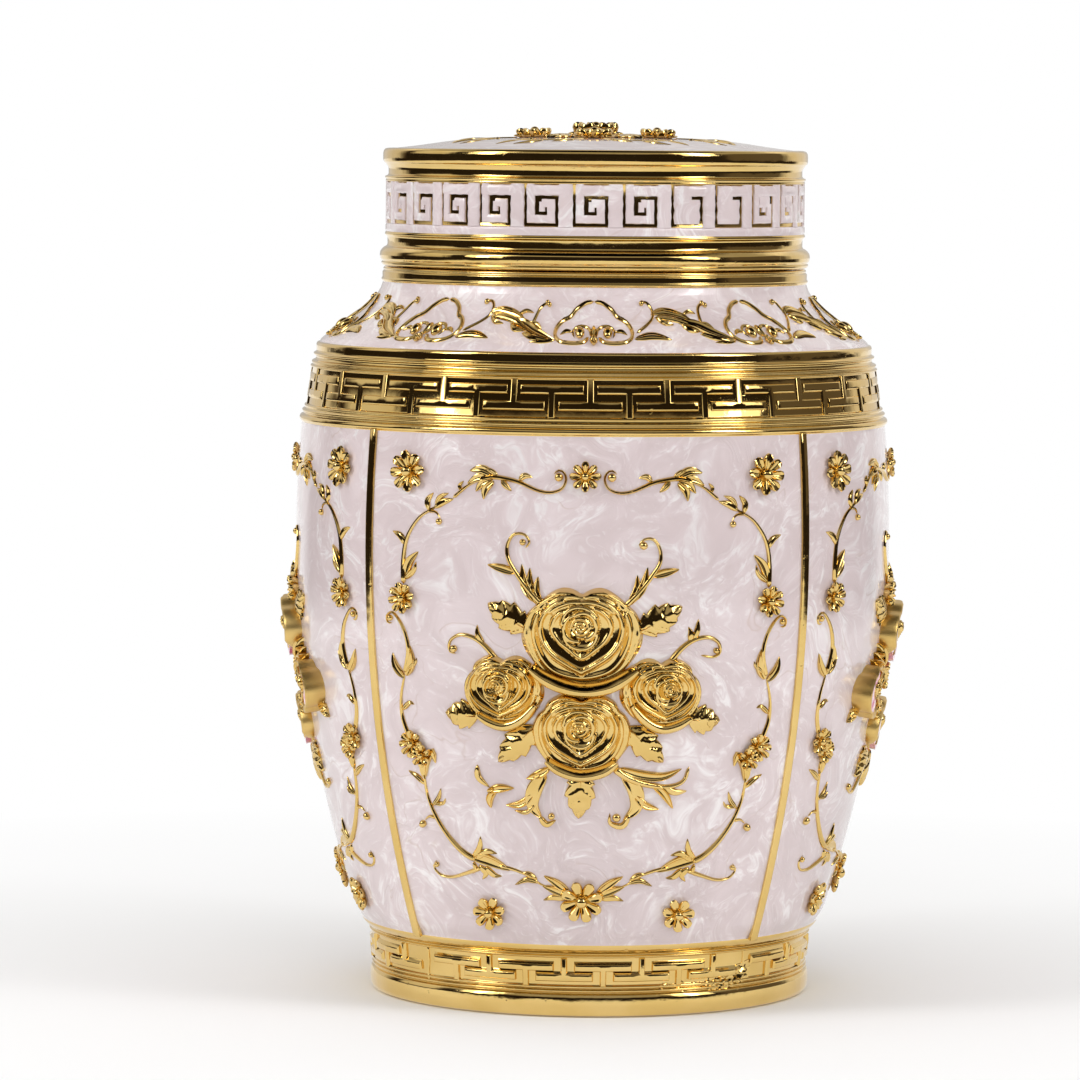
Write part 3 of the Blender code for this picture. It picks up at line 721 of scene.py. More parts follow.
@dataclass(frozen=True)
class Tendril:
    """A stem that curls round a ball, with blades on it.

    Attributes:
        points: the places that the stem passes.
        thick: its half width at the start.
        ball: the ball's place and radius, or none.
        blades: the foot, a middle place and the tip of each blade.
        blade_width: half the blades' greatest width.
    """

    points: Points
    thick: float = 0.95
    ball: tuple[float, float, float] | None = None
    blades: Sequence[Points] = ()
    blade_width: float = 0.95

    def mirrored(self, side: int) -> "Tendril":
        """The same tendril on the right (side 1) or mirrored to the left (side -1)."""
        ball = self.ball and (side * self.ball[0], *self.ball[1:])
        blades = [on_side(blade, side) for blade in self.blades]
        return replace(self, points=on_side(self.points, side), ball=ball, blades=blades)

    def draw(self, pattern: Pattern) -> None:
        """Draws the stem, its ball and its blades."""
        pattern.stem(self.points, self.thick)
        if self.ball:
            pattern.ball(*self.ball)
        for points in self.blades:
            pattern.blade(points, self.blade_width)


@dataclass(frozen=True)
class RoseSpray:
    """Four roses with leaves and tendrils, as on the front and the back panel.

    Attributes:
        roses: the roses themselves.
        lips: the rolled petal edges under them.
        leaves: the foot and the tip of each broad leaf.
        tendrils: the curling stems.
        acanthus: the places and the half width of each narrow leaf.
        curls: the balls that the two lowest leaves curl round.
    """

    roses: tuple[Rose, ...] = (
        Rose(bud=(-24.1, 96.9), heart=8.2, tip=8.6, reach=12, lean=1.2, lift=4.9),
        Rose(bud=(23.8, 96.5), heart=8.2, tip=8.6, reach=12.1, lean=-2, lift=4.9),
        Rose(bud=(-1.1, 85.6), heart=9.3, tip=10.6, reach=14.4, lean=0.5, lift=5.3),
        Rose(bud=(-0.9, 114), heart=10.6, tip=12.8, reach=17.6, lean=0.3, lift=5.7),
    )
    lips: tuple[Lip, ...] = (
        Lip(
            [(-15.4, 102.6), (-11.4, 99.6), (-6.4, 97.2), (0, 95.9), (6.4, 96.9), (11, 99.2), (15.4, 102.4)],
            half=2.0,
            lift=4.9,
        ),
        Lip([(-30.6, 88.6), (-26.4, 86.2), (-21.8, 85.2), (-17, 87.4), (-12.8, 92)], 1.8, 3.6, Section.ROUND),
        Lip([(12.8, 92), (16.8, 87.4), (21.4, 84.9), (26.2, 85.7), (30.6, 88.2)], 1.8, 3.6, Section.ROUND),
        Lip([(-10.6, 76.4), (-6.6, 73.4), (-0.8, 71.8), (5.4, 73), (9.6, 76)], 1.7, 4.4),
    )
    leaves: tuple[tuple[Point, Point], ...] = (
        ((-15.6, 112.4), (-27.6, 119.6)),
        ((15.2, 112.2), (27.8, 119.2)),
        ((-30.2, 87.4), (-40.6, 88)),
        ((29.4, 87.2), (39.4, 86.6)),
        ((-13.6, 85.2), (-24.4, 74.4)),
        ((12.4, 85.2), (22.6, 74.8)),
        ((-0.5, 72.6), (-1.4, 58.6)),
    )
    tendrils: tuple[Tendril, ...] = (
        Tendril(
            [(-10.6, 118.2), (-15.5, 123.2), (-19.2, 128), (-21.6, 132), (-22, 135.8), (-20.2, 138.9)]
            + [(-17.2, 139.1), (-15.6, 137), (-16.8, 135.2)],
            ball=(-17.5, 136.9, 0.95),
            blades=(
                [(-19.4, 128.2), (-23.4, 129.4), (-28, 130.4)],
                [(-13.8, 120), (-16.8, 124.8), (-17.8, 131)],
                [(-12.6, 119.2), (-15.2, 123.8), (-15.4, 130)],
                [(-11.4, 118.6), (-13.6, 122.4), (-13, 127.6)],
            ),
            blade_width=1.3,
        ),
        Tendril(
            [(10.4, 118.2), (15.2, 123), (19, 127.8), (21.2, 131.4), (21.2, 135), (19.4, 137.9)]
            + [(16.8, 138), (15.4, 136.4), (16.4, 135)],
            ball=(16.5, 136.2, 1.15),
            blades=(
                [(19, 127.6), (22.6, 128.6), (27, 129.6)],
                [(13.6, 120.4), (16.4, 125), (17.8, 130.4)],
                [(12.4, 119.4), (14.6, 123.6), (14.8, 128.2)],
            ),
            blade_width=1.25,
        ),
        Tendril(
            [(-24.4, 103), (-28.2, 107.2), (-32, 109.6), (-36.2, 110.2), (-39.2, 108.4), (-39.4, 105.6)]
            + [(-37.4, 104.8)],
            ball=(-38, 106.2, 1.1),
            blades=([(-28.6, 107.4), (-30.6, 110.6), (-30.8, 113.4)],),
        ),
        Tendril(
            [(24, 103), (27.6, 107.2), (31.4, 109.6), (35.8, 110.2), (38.8, 108.6), (39.2, 105.8)]
            + [(37, 104.6), (33.4, 105.2)],
            ball=(38, 106.4, 0.9),
            blades=([(31, 109.4), (32.2, 112), (32.6, 115.6)], [(30, 109), (30.4, 111.4), (29.6, 113.4)]),
        ),
        Tendril([(8.4, 73.4), (12.6, 70.4), (18.2, 68.4), (24.4, 67.8), (28.6, 69.4), (30.2, 73.4)], 1.25),
    )
    acanthus: tuple[tuple[Points, float], ...] = (
        ([(9.6, 73.4), (15.6, 71.4), (22.4, 70.8), (28.4, 73)], 1.5),
        ([(19, 69), (22.6, 66), (25.6, 61.2)], 1.3),
        ([(22.4, 68), (25.8, 66.2), (29.8, 66.4)], 1.1),
        ([(10.6, 72), (14.4, 67.4), (14.8, 62), (11, 58)], 2.3),
        ([(14.4, 65.4), (17.4, 62.6), (21.6, 61.2)], 1.2),
        ([(13.2, 60), (11, 56.6), (7.6, 57.4), (7.4, 60.4)], 1),
        ([(-10.4, 71.8), (-13.6, 67.4), (-14.4, 62.4), (-11.6, 58.2)], 2.3),
        ([(-12.6, 59.4), (-10.4, 56.8), (-7.6, 58.2)], 1),
        ([(-14.2, 65.4), (-17.8, 62.6), (-22.4, 62)], 1.2),
        ([(-13.6, 62.6), (-16.2, 60.2), (-19.8, 60.6)], 0.8),
        ([(-9.4, 73.2), (-12.4, 71.4), (-16.4, 69.8)], 1.3),
        ([(-30.8, 73.4), (-30.4, 69.8), (-27, 66.8)], 1),
        ([(-28, 65.6), (-24.2, 66.8), (-19.6, 67)], 1.3),
        ([(-25, 66.6), (-26.8, 64), (-26.6, 60.8)], 1.2),
    )
    curls: tuple[tuple[float, float, float], ...] = ((9.3, 59, 1.2), (-9, 59.2, 1))

    def draw(self) -> Piece:
        """Draws the whole spray flat."""
        pattern = Pattern()
        for foot, tip in self.leaves:
            pattern.leaf(foot, tip, width=4.1, lift=2.1)
        for tendril in self.tendrils:
            tendril.draw(pattern)
        for points, width in self.acanthus:
            pattern.blade(points, width, lift=1.2)
        for curl in self.curls:
            pattern.ball(*curl)
        for rose in self.roses:
            rose.draw(pattern)
        for lip in self.lips:
            lip.draw(pattern)
        return pattern.finish("rose_spray", math.radians(60))


@dataclass(frozen=True)
class Bloom:
    """One thick blossom: an upright gilt wall round a face of pink enamel.

    Attributes:
        x: where its middle comes along the panel.
        y: where its middle comes up the panel.
        wide: its half width.
        high: its half height.
        tilt: how much further out it comes for each millimetre towards the panel's edge.
        notch: how far its edge is drawn in at a seam, as a share.
    """

    x: float
    y: float
    wide: float
    high: float
    lift: float
    tilt: float = 0.2
    notch: float = 0.1
    around: int = 80

    SEAMS: ClassVar[tuple[float, ...]] = tuple(math.radians(angle) for angle in (52, 90, 128, 232, 308))

    def seam(self, angle: Array) -> Array:
        """Shares that reach 1 at the seams between the five petals."""
        apart = [np.angle(np.exp(1j * (angle - seam))) for seam in self.SEAMS]
        return np.max([np.exp(-((gap / 0.17) ** 2)) for gap in apart], axis=0)

    def dip(self, angle: Array) -> Array:
        """Shares from 0 to 1 near the lowest point, where the enamel runs over the wall."""
        return np.clip(-np.sin(angle) - 0.42, 0, 0.4) / 0.4

    def spot(self, angle: Array, distance: Array) -> tuple[Array, Array]:
        """Places on the panel at an angle and at a share of the way from the middle to the edge."""
        return self.x + self.wide * distance * np.cos(angle), self.y + self.high * distance * np.sin(angle)

    def full_lift(self, x: Array) -> Array:
        """How far out the blossom comes at a place along the panel."""
        return self.lift + self.tilt * np.sign(self.x) * (x - self.x)

    def draw_wall(self, pattern: Pattern) -> None:
        """Draws the upright wall, with a rim round the face and a vein along each seam."""
        profile = [(0.0, 0.5), (0.86, 0.78), (0.9, 0.94), (0.94, 1.0), (0.98, 0.96), (1.0, 0.86), (1.02, 0.0)]
        profile += [(1.02, -0.3), (0.0, -0.3)]
        reach, out = np.array(profile).T
        run_over = 0.75 if self.x == 0 else 0.0

        def place(first: Array, second: Array) -> Array:
            """Places of the corners."""
            angle = 2 * math.pi * first / self.around
            x, y = self.spot(angle, reach[second] * (1 - self.notch * self.seam(angle)))
            fall = run_over * self.dip(angle) * (reach[second] > 0.8)
            height = np.where(out[second] > 0, self.full_lift(x) * (1 - fall), self.lift)
            return np.column_stack([x, y, out[second] * height])

        pattern.take(grid_form(self.around, len(profile) - 1, place))
        for seam in self.SEAMS:
            points = [self.spot(seam + 0.12 * math.sin(share * math.pi), share) for share in (0.3, 0.6, 0.88)]
            pattern.stem(points, 0.5, 0.7, base=self.lift * 0.72, rise=0.6)

    def draw_face(self, pattern: Pattern) -> None:
        """Draws the enamel inside the rim, swelling in each petal."""
        profile = [(step / 7, 1.0) for step in range(8)] + [(0.98, 0.0), (0.0, 0.0)]
        reach, top = np.array(profile).T

        def place(first: Array, second: Array) -> Array:
            """Places of the corners."""
            angle = 2 * math.pi * first / self.around
            seam = self.seam(angle)
            edge = (0.93 + 0.06 * self.dip(angle)) * (1 - self.notch * seam)
            x, y = self.spot(angle, reach[second] * edge)
            bulge = 0.68 + 0.16 * np.sin(math.pi * reach[second] * 0.9) * (1 - 0.7 * seam)
            rise = np.where(top[second] > 0, self.full_lift(x) * bulge, self.lift * 0.2)
            return np.column_stack([x, y, rise])

        pattern.take(grid_form(self.around, len(profile) - 1, place))

    def draw_heart(self, pattern: Pattern) -> None:
        """Draws the small gilt rose in the middle."""
        bud = (self.x, self.y + self.high * 0.12)
        heart, tip, reach = (self.high * share for share in (0.42, 0.46, 0.5))
        rose = Rose(bud, heart, tip, reach, lean=0.0, lift=self.lift * 1.1, around=72, rings=28)
        rose.draw(pattern)


@dataclass(frozen=True)
class BlossomSpray:
    """Four thick blossoms on the side panels, with buds, leaves and tendrils between them.

    All but the blossoms are given for the right half, and have their mirror images on the left.

    Attributes:
        blooms: the blossoms themselves.
        leaves: the foot and the tip of each leaf.
        buds: the place and the half width of each bud.
        blades: the blades of a fan.
        tendrils: the curling stems.
    """

    blooms: tuple[Bloom, ...] = (
        Bloom(0, 106.2, 17.4, 9, 5),
        Bloom(-25.4, 90.8, 12.2, 7.8, 3.7),
        Bloom(25.4, 90.8, 12.2, 7.8, 3.7),
        Bloom(0, 79, 16.8, 7.8, 3.4),
    )
    leaves: tuple[tuple[Point, Point], ...] = (
        ((5, 114.6), (9.4, 125.8)),
        ((15, 111), (26.4, 116.6)),
        ((33.6, 86.4), (38.6, 82.4)),
        ((13, 73), (21.6, 65)),
        ((0, 71.6), (0, 60)),
    )
    buds: tuple[tuple[float, float, float], ...] = ((13.4, 118, 4), (0, 93, 4.4), (14.6, 84.6, 3.2))
    blades: tuple[Points, ...] = (
        ((17, 96.4), (19.6, 99.4), (23.6, 101.4)),
        ((16.6, 96.2), (17.4, 100), (20, 104)),
        ((17.4, 96), (21.6, 97.6), (26.4, 99.6)),
        ((16.2, 96.6), (14.2, 94), (13.4, 90.6)),
        ((16.8, 96), (18.6, 93.6), (18.4, 90.2)),
    )
    tendrils: tuple[Tendril, ...] = (
        Tendril([(9, 117), (15.4, 125), (18.6, 132), (16.4, 136.2), (13.6, 134.2)], ball=(15.2, 134.6, 1)),
        Tendril([(8, 71), (13.4, 66), (20.4, 60.6), (26, 61.6)], ball=(26.4, 62.6, 1)),
    )

    def walls(self) -> Piece:
        """The thick gilt walls of the petals."""
        pattern = Pattern()
        for bloom in self.blooms:
            bloom.draw_wall(pattern)
        return pattern.finish("blossom_walls")

    def faces(self) -> Piece:
        """The pink enamel that fills the blossoms."""
        pattern = Pattern()
        for bloom in self.blooms:
            bloom.draw_face(pattern)
        return pattern.finish("blossom_faces")

    def foliage(self) -> Piece:
        """The blossoms' hearts, and the buds, leaves and tendrils between them."""
        pattern = Pattern()
        for foot, tip in self.leaves:
            for side in sides_of(foot[0]):
                pattern.leaf(*on_side((foot, tip), side), width=0.32 * math.dist(foot, tip))
        for x, y, radius in self.buds:
            for side in sides_of(x):
                pattern.flower(side * x, y, radius, petals=6, lift=3.0)
        for bloom in self.blooms:
            bloom.draw_heart(pattern)
        for side in (-1, 1):
            for tendril in self.tendrils:
                tendril.mirrored(side).draw(pattern)
            for points in self.blades:
                pattern.blade(on_side(points, side), width=1.7, lift=3.2)
        return pattern.finish("blossom_leaves")


@dataclass(frozen=True)
class Vine:
    """The left half of the flowering vine that frames each panel; the right half is its mirror image.

    Attributes:
        tendrils: its stems.
        blades: the places and the half width of each leaf.
        flowers: the place, half width, petals and turn of each flower.
    """

    tendrils: tuple[Tendril, ...] = (
        Tendril(
            [(-30.6, 154), (-26.7, 154.9), (-22.6, 154.5), (-18.7, 153.6), (-13.4, 151.4), (-9.6, 150.9)]
            + [(-6.6, 152), (-5.4, 154.4), (-6, 156.5), (-7.6, 157.1), (-8.9, 156)],
            0.85,
            (-7.4, 155.2, 1.25),
            (
                [(-18.7, 154), (-17.2, 155.4), (-14.8, 155.1)],
                [(-23.8, 154.4), (-22.8, 152.8), (-20.8, 151)],
            ),
        ),
        Tendril(
            [(-55, 123.6), (-55.2, 130), (-54, 136.6), (-50.2, 142.2), (-46, 145), (-40.4, 147.6)],
            0.85,
        ),
        Tendril([(-46.6, 144.8), (-44, 144.4), (-42.6, 142.8)], 0.6, (-42.9, 141.9, 0.95)),
        Tendril([(-38.6, 148.6), (-36.2, 150.6), (-33.4, 152.6), (-30, 154), (-27.4, 154.6)], 0.6),
        Tendril(
            [(-54.6, 98.2), (-53.4, 104.6), (-54.4, 109.4), (-56.4, 112.9), (-59.2, 115.4), (-61.4, 114.4)]
            + [(-61, 112.4), (-59.4, 112.4)],
            0.85,
            (-60, 113.8, 0.9),
        ),
        Tendril([(-53.4, 80), (-55.8, 85.6), (-56.2, 91.6), (-54.8, 98)], 0.8),
        Tendril([(-31.4, 45.4), (-35.6, 47.6), (-40, 51.6), (-44.4, 57.4), (-47.2, 63.4), (-48.4, 69.6)]),
        Tendril([(-44.6, 57), (-46.8, 57.2), (-48.4, 56)], 0.6, (-49, 54.9, 1.15)),
        Tendril(
            [(-29.6, 43.2), (-34.8, 41.2), (-39.4, 39.8), (-43.4, 40.2), (-45.6, 42.4), (-44.6, 44.4)],
            0.75,
            (-44.4, 43.2, 0.8),
        ),
        Tendril([(-24.6, 44.2), (-20, 43.2), (-15.8, 41.6), (-12.2, 39.2), (-8.6, 38)], 0.6),
    )
    blades: tuple[tuple[Points, float], ...] = (
        ([(-26.2, 155.4), (-29.6, 157), (-33.6, 156.4)], 1.3),
        ([(-26.8, 154.6), (-30.4, 154.6), (-34.2, 152.8)], 1.3),
        ([(-26.4, 154.2), (-29.4, 153), (-31.6, 150.6)], 1.2),
        ([(-26, 153.8), (-28.4, 151.6), (-29.2, 148.4)], 1.2),
        ([(-24.8, 155.2), (-27, 156.6), (-29.4, 157.6)], 0.8),
        ([(-36, 150.6), (-36.4, 152.2), (-35.2, 153.6)], 0.6),
        ([(-46.4, 144.8), (-46.8, 147.6), (-44.8, 150)], 1),
        ([(-44.6, 145.6), (-41.8, 147.4), (-38.2, 148.4)], 1.1),
        ([(-44.2, 146.4), (-42.6, 148.8), (-39.8, 150)], 0.8),
        ([(-54.4, 134.6), (-56.2, 137.2), (-59.4, 138.6)], 1.1),
        ([(-54.8, 126), (-52.8, 130.2), (-49.8, 133.2)], 1.4),
        ([(-54.8, 125), (-51.4, 127.8), (-50.6, 130.4)], 0.9),
        ([(-54.4, 97.4), (-52.4, 101.2), (-52.8, 106.4)], 1.5),
        ([(-54.8, 96.8), (-58, 100.2), (-59.4, 104)], 1.2),
        ([(-53.6, 99.4), (-51, 101.4), (-50.4, 103)], 0.7),
        ([(-55.8, 87.6), (-53.2, 89.8), (-51.4, 89.4)], 0.9),
        ([(-48.2, 68), (-48, 72.6), (-45.4, 76.2), (-44.2, 72.6)], 1.6),
        ([(-48, 66.4), (-50.8, 68.6), (-54.2, 70.2)], 0.9),
        ([(-45.6, 60.4), (-43.4, 63), (-42.6, 65.8)], 0.8),
        ([(-45.2, 61.2), (-42, 61.4), (-41, 63)], 0.7),
        ([(-33.4, 46.4), (-27.6, 45.6), (-20.6, 42.8)], 1.7),
        ([(-32.6, 46.2), (-30.4, 48.8), (-30, 52.6)], 1),
        ([(-31.6, 45.6), (-28.2, 48), (-24.8, 47.6)], 1.1),
        ([(-30.6, 44), (-28.4, 41.8), (-29.6, 39.6)], 1),
        ([(-28.6, 43.8), (-26, 41.4), (-23.4, 41)], 1),
        ([(-32.2, 45), (-31.6, 42.6), (-32.8, 41.2)], 0.7),
        ([(-12.5, 39.6), (-16, 40.4), (-19.8, 38.6)], 0.9),
        ([(-13, 40.4), (-15.5, 42.2), (-18.2, 42.2)], 0.7),
        ([(-3.6, 36.6), (-7.4, 39.6), (-11.4, 41.8)], 1.2),
        ([(-4.2, 36), (-8, 37.6), (-11.8, 38.8)], 1.2),
        ([(-4.6, 35), (-8.4, 35.4), (-11.6, 34.4)], 1),
    )
    flowers: tuple[tuple[float, float, float, int, float], ...] = (
        (-53.4, 155.6, 6, 8, 0.1),
        (-27.2, 30.2, 5, 7, 0.3),
        (-55.2, 119.8, 4.6, 8, 0.2),
        (-52.2, 78.2, 4.1, 8, 0),
        (-48.8, 75, 3.4, 7, 0.4),
    )

    def draw_half(self) -> Piece:
        """Draws the left half flat."""
        pattern = Pattern()
        for tendril in self.tendrils:
            tendril.draw(pattern)
        for points, width in self.blades:
            pattern.blade(points, width)
        for x, y, radius, petals, turn in self.flowers:
            pattern.flower(x, y, radius, petals, lift=1.9, turn=turn)
        return pattern.finish("half_vine")

    def draw_middle(self) -> Piece:
        """Draws the flowers at the top and the bottom of the panel's middle."""
        pattern = Pattern()
        pattern.flower(0.0, 155.4, radius=4.4, lift=1.9)
        for side in (-1, 1):
            pattern.ball(side * 3.6, 155.6, radius=0.9, lift=0.4)
        pattern.flower(-0.5, 34.6, radius=6.2, lift=2.1, turn=0.3)
        return pattern.finish("vine_flowers")


@dataclass(frozen=True)
class ShoulderScroll:
    """One of the scrolls round the shoulder: an arch that curls round two balls, with leaves beside it.

    Attributes:
        motifs: how many there are round the shoulder.
        turn: where the first one comes, from the front.
        arch: the right half of the arch, from its top.
        curl: the curl inside its foot.
        tongue: the small blade beside the curl.
        hooks: the hooked stems between two arches, each with its ball.
        blades: the places, the half width and the height of the leaves under the hooks.
        slanting: the places and the half width of each blade of the long slanting leaf.
    """

    motifs: int = 9
    turn: float = math.radians(1.3)
    arch: Points = (
        *((0, 203.5), (2.4, 203.1), (5, 201.3), (6.5, 199.4), (8.6, 198.3), (10.4, 196.4)),
        *((10.9, 194.3), (9.5, 192.7), (5.9, 192.2), (2.8, 192.6), (1.3, 194)),
    )
    curl: Points = ((0.7, 193.6), (0.9, 195.6), (2.4, 196.7), (4.4, 196.7), (5.9, 195.4), (5.4, 193.6))
    tongue: Points = ((6, 195.2), (7.8, 195.4), (9.6, 194.4))
    hooks: tuple[tuple[Points, tuple[float, float, float]], ...] = (
        (
            ((12, 195), (15, 197.2), (16.7, 199.4), (16.3, 201.6), (14.9, 203.3), (13.2, 203.5)),
            (13.4, 203, 0.75),
        ),
        (
            ((-17.6, 197), (-16.5, 199.2), (-15.5, 201.2), (-14, 202.7), (-12.3, 202.9)),
            (-12.6, 202.5, 0.7),
        ),
    )
    blades: tuple[tuple[Points, float, float], ...] = (
        (((11.4, 193.4), (16.6, 194.2), (22.6, 193.2)), 1, 1.1),
        (((-10.8, 193), (-14.6, 192.5), (-18.6, 192.4)), 0.5, 0.8),
    )
    slanting: tuple[tuple[Points, float], ...] = (
        ([(-7.4, 200), (-3.6, 200.9), (1.4, 199.8), (5.4, 197.4)], 1.15),
        ([(-6.6, 199.2), (-2, 199), (2.6, 197.7), (6.8, 195.5)], 0.95),
        ([(-0.6, 198), (4.2, 197.2), (9, 194.9), (16, 192.8)], 1.25),
        ([(5, 194.8), (9, 193.5), (15.4, 192.4)], 0.6),
        ([(1.8, 199.6), (4, 200.7), (6.4, 200.2)], 0.5),
        ([(-6.2, 199), (-4.2, 197.6), (-1.4, 197.2)], 0.6),
        ([(0.6, 197.2), (2.6, 195.7), (5.6, 195.3)], 0.65),
        ([(5.6, 197.3), (8.4, 197.1), (10.6, 195.6)], 0.6),
    )

    def draw(self) -> Piece:
        """Draws one motif flat: the arch, its two balls and curls, and a hook on each side."""
        pattern = Pattern()
        for side in (-1, 1):
            pattern.stem(on_side(self.arch, side), thick=0.64, thin=0.85, rise=1.1)
            pattern.ball(side * 3.9, 194.7, radius=1.35, lift=0.2)
            pattern.stem(on_side(self.curl, side), thick=0.55, thin=0.6)
            pattern.blade(on_side(self.tongue, side), width=0.5, lift=0.8)
        pattern.flower(0.0, 192.6, radius=1.2, petals=4, lift=1.2)
        pattern.blade([(0.0, 196.9), (0.0, 195.6), (0.0, 193.6)], width=0.7, lift=1.2)
        for points, ball in self.hooks:
            pattern.stem(points, thick=0.5, thin=0.8)
            pattern.ball(*ball, lift=0.2)
        for points, width, lift in self.blades:
            pattern.blade(points, width, lift)
        return pattern.finish("shoulder_motif")

    def draw_between(self) -> Piece:
        """Draws the long slanting leaf that lies between two motifs."""
        pattern = Pattern()
        for points, width in self.slanting:
            pattern.blade(points, width, lift=1.1)
        pattern.ball(9.2, 203.2, radius=0.6, lift=0.1)
        return pattern.finish("shoulder_leaf")


def inset_faces(bevel: Points) -> None:
    """Draws the selected faces in and up by each step of a bevel."""
    for inwards, upwards in bevel:
        bpy.ops.mesh.inset(thickness=inwards, depth=upwards, use_even_offset=True)


def raise_faces(upright: float, bevel: Points) -> None:
    """Raises the selected faces of the piece in edit mode, and draws them in towards a flat top.

    Args:
        upright: how high their sides go straight up.
        bevel: how far in and up each step of the rounded edge goes.
    """
    bpy.ops.mesh.extrude_region_move(TRANSFORM_OT_translate={"value": (0, 0, upright)})
    inset_faces(bevel)


@dataclass(frozen=True)
class FretBand:
    """A band of raised Ts, standing and hanging by turns.

    Attributes:
        low: the foot of the ground between the borders.
        high: the top of it.
        bars: the foot of the hanging T's bar and of the standing T's bar.
        bar: length of the bars.
        thick: thickness of the bars at their foot.
        post: width of the posts at their foot.
        slope: how far their sides lean in.
        lift: how far they stand out.
        sink: how far their flat tops are shifted down, which widens their upper sides.
        bevel: how far in and up each step of their rounded edge goes, as shares of slope and lift.
        crease: the angle past which an edge of theirs stays crisp.
    """

    name: str
    wall: Wall
    low: float
    high: float
    bars: tuple[float, float]
    bar: float
    thick: float
    post: float
    slope: float
    lift: float
    sink: float = 0.0
    bevel: Points = ((0.27, 0.5), (0.4, 0.38), (0.33, 0.12))
    crease: float = math.radians(34)

    def letter(self, standing: bool) -> Piece:
        """Models one T: a grid cut to its outline, raised, and drawn in towards its flat top.

        Args:
            standing: whether its post goes down to the lower border.
        Returns:
            The flat form.
        """
        foot = self.bars[standing]
        bar = [foot, foot + self.thick]
        rows = [self.low - 0.6, *bar] if standing else [*bar, self.high + 0.5]
        half = self.bar / 2
        post = self.post / 2
        columns = [*np.linspace(-half, -post, 6), *np.linspace(post, half, 6)]

        def place(first: Array, second: Array) -> Array:
            """Places of the corners."""
            ground = np.full(len(first), -ROOT)
            return np.column_stack([np.take(columns, first), np.take(rows, second), ground])

        form = grid_form(len(columns) - 1, 2, place)
        post_row = (rows[0] + rows[1]) / 2 if standing else (rows[1] + rows[2]) / 2
        edit_faces(form, lambda face: abs(face.center.y - post_row) < 0.1 and abs(face.center.x) > post)
        bpy.ops.mesh.delete(type="FACE")
        bpy.ops.mesh.select_all(action="SELECT")
        first_step, *others = [(self.slope * inwards, self.lift * upwards) for inwards, upwards in self.bevel]
        raise_faces(ROOT, [first_step])
        bpy.ops.transform.translate(value=(0, -self.sink, 0))
        inset_faces(others)
        bpy.ops.object.mode_set(mode="OBJECT")
        return form

    def build(self, angles: Sequence[float]) -> Piece:
        """Copies the Ts round the wall, the first one standing.

        Args:
            angles: where each T comes.
        Returns:
            All the Ts as one piece.
        """
        letters = [self.letter(True), self.letter(False)]
        copies = []
        for index, angle in enumerate(angles):
            twin = copy_of(letters[index % 2], f"{self.name}_{index}")
            copies.append(bend_round(twin, self.wall, angle))
        for letter in letters:
            bpy.data.objects.remove(letter)
        return close_form(join_forms(copies, self.name), merge=MERGE * MM, crease=self.crease)


@dataclass(frozen=True)
class Ribs:
    """Four upright gilt ribs that part the barrel into panels.

    Attributes:
        side: how much of the lift their upright sides take up.
        bevel: how far in each step of their rounded edge goes, and how far up as a share of lift.
    """

    low: float = 20.6
    high: float = 167.0
    width: float = 2.5
    lift: float = 1.0
    side: float = 0.5
    bevel: Points = ((0.22, 0.35), (0.3, 0.15))
    steps: int = 40

    def build(self) -> Piece:
        """Models one rib as a bevelled strip and copies it to the four corners."""

        def place(first: Array, second: Array) -> Array:
            """Places of the corners."""
            height = self.low + second / self.steps * (self.high - self.low)
            return np.column_stack([(first / 2 - 0.5) * self.width, height, np.full(len(first), -ROOT)])

        rib = grid_form(2, self.steps, place)
        edit_faces(rib, lambda face: True)
        raise_faces(ROOT + self.lift * self.side, [(inwards, self.lift * up) for inwards, up in self.bevel])
        bpy.ops.object.mode_set(mode="OBJECT")
        ribs = [
            bend_round(copy_of(rib, f"rib_{quarter}"), Wall.BARREL, (quarter + 0.5) * QUARTER)
            for quarter in range(4)
        ]
        bpy.data.objects.remove(rib)
        return close_form(join_forms(ribs, "ribs"), merge=MERGE * MM)


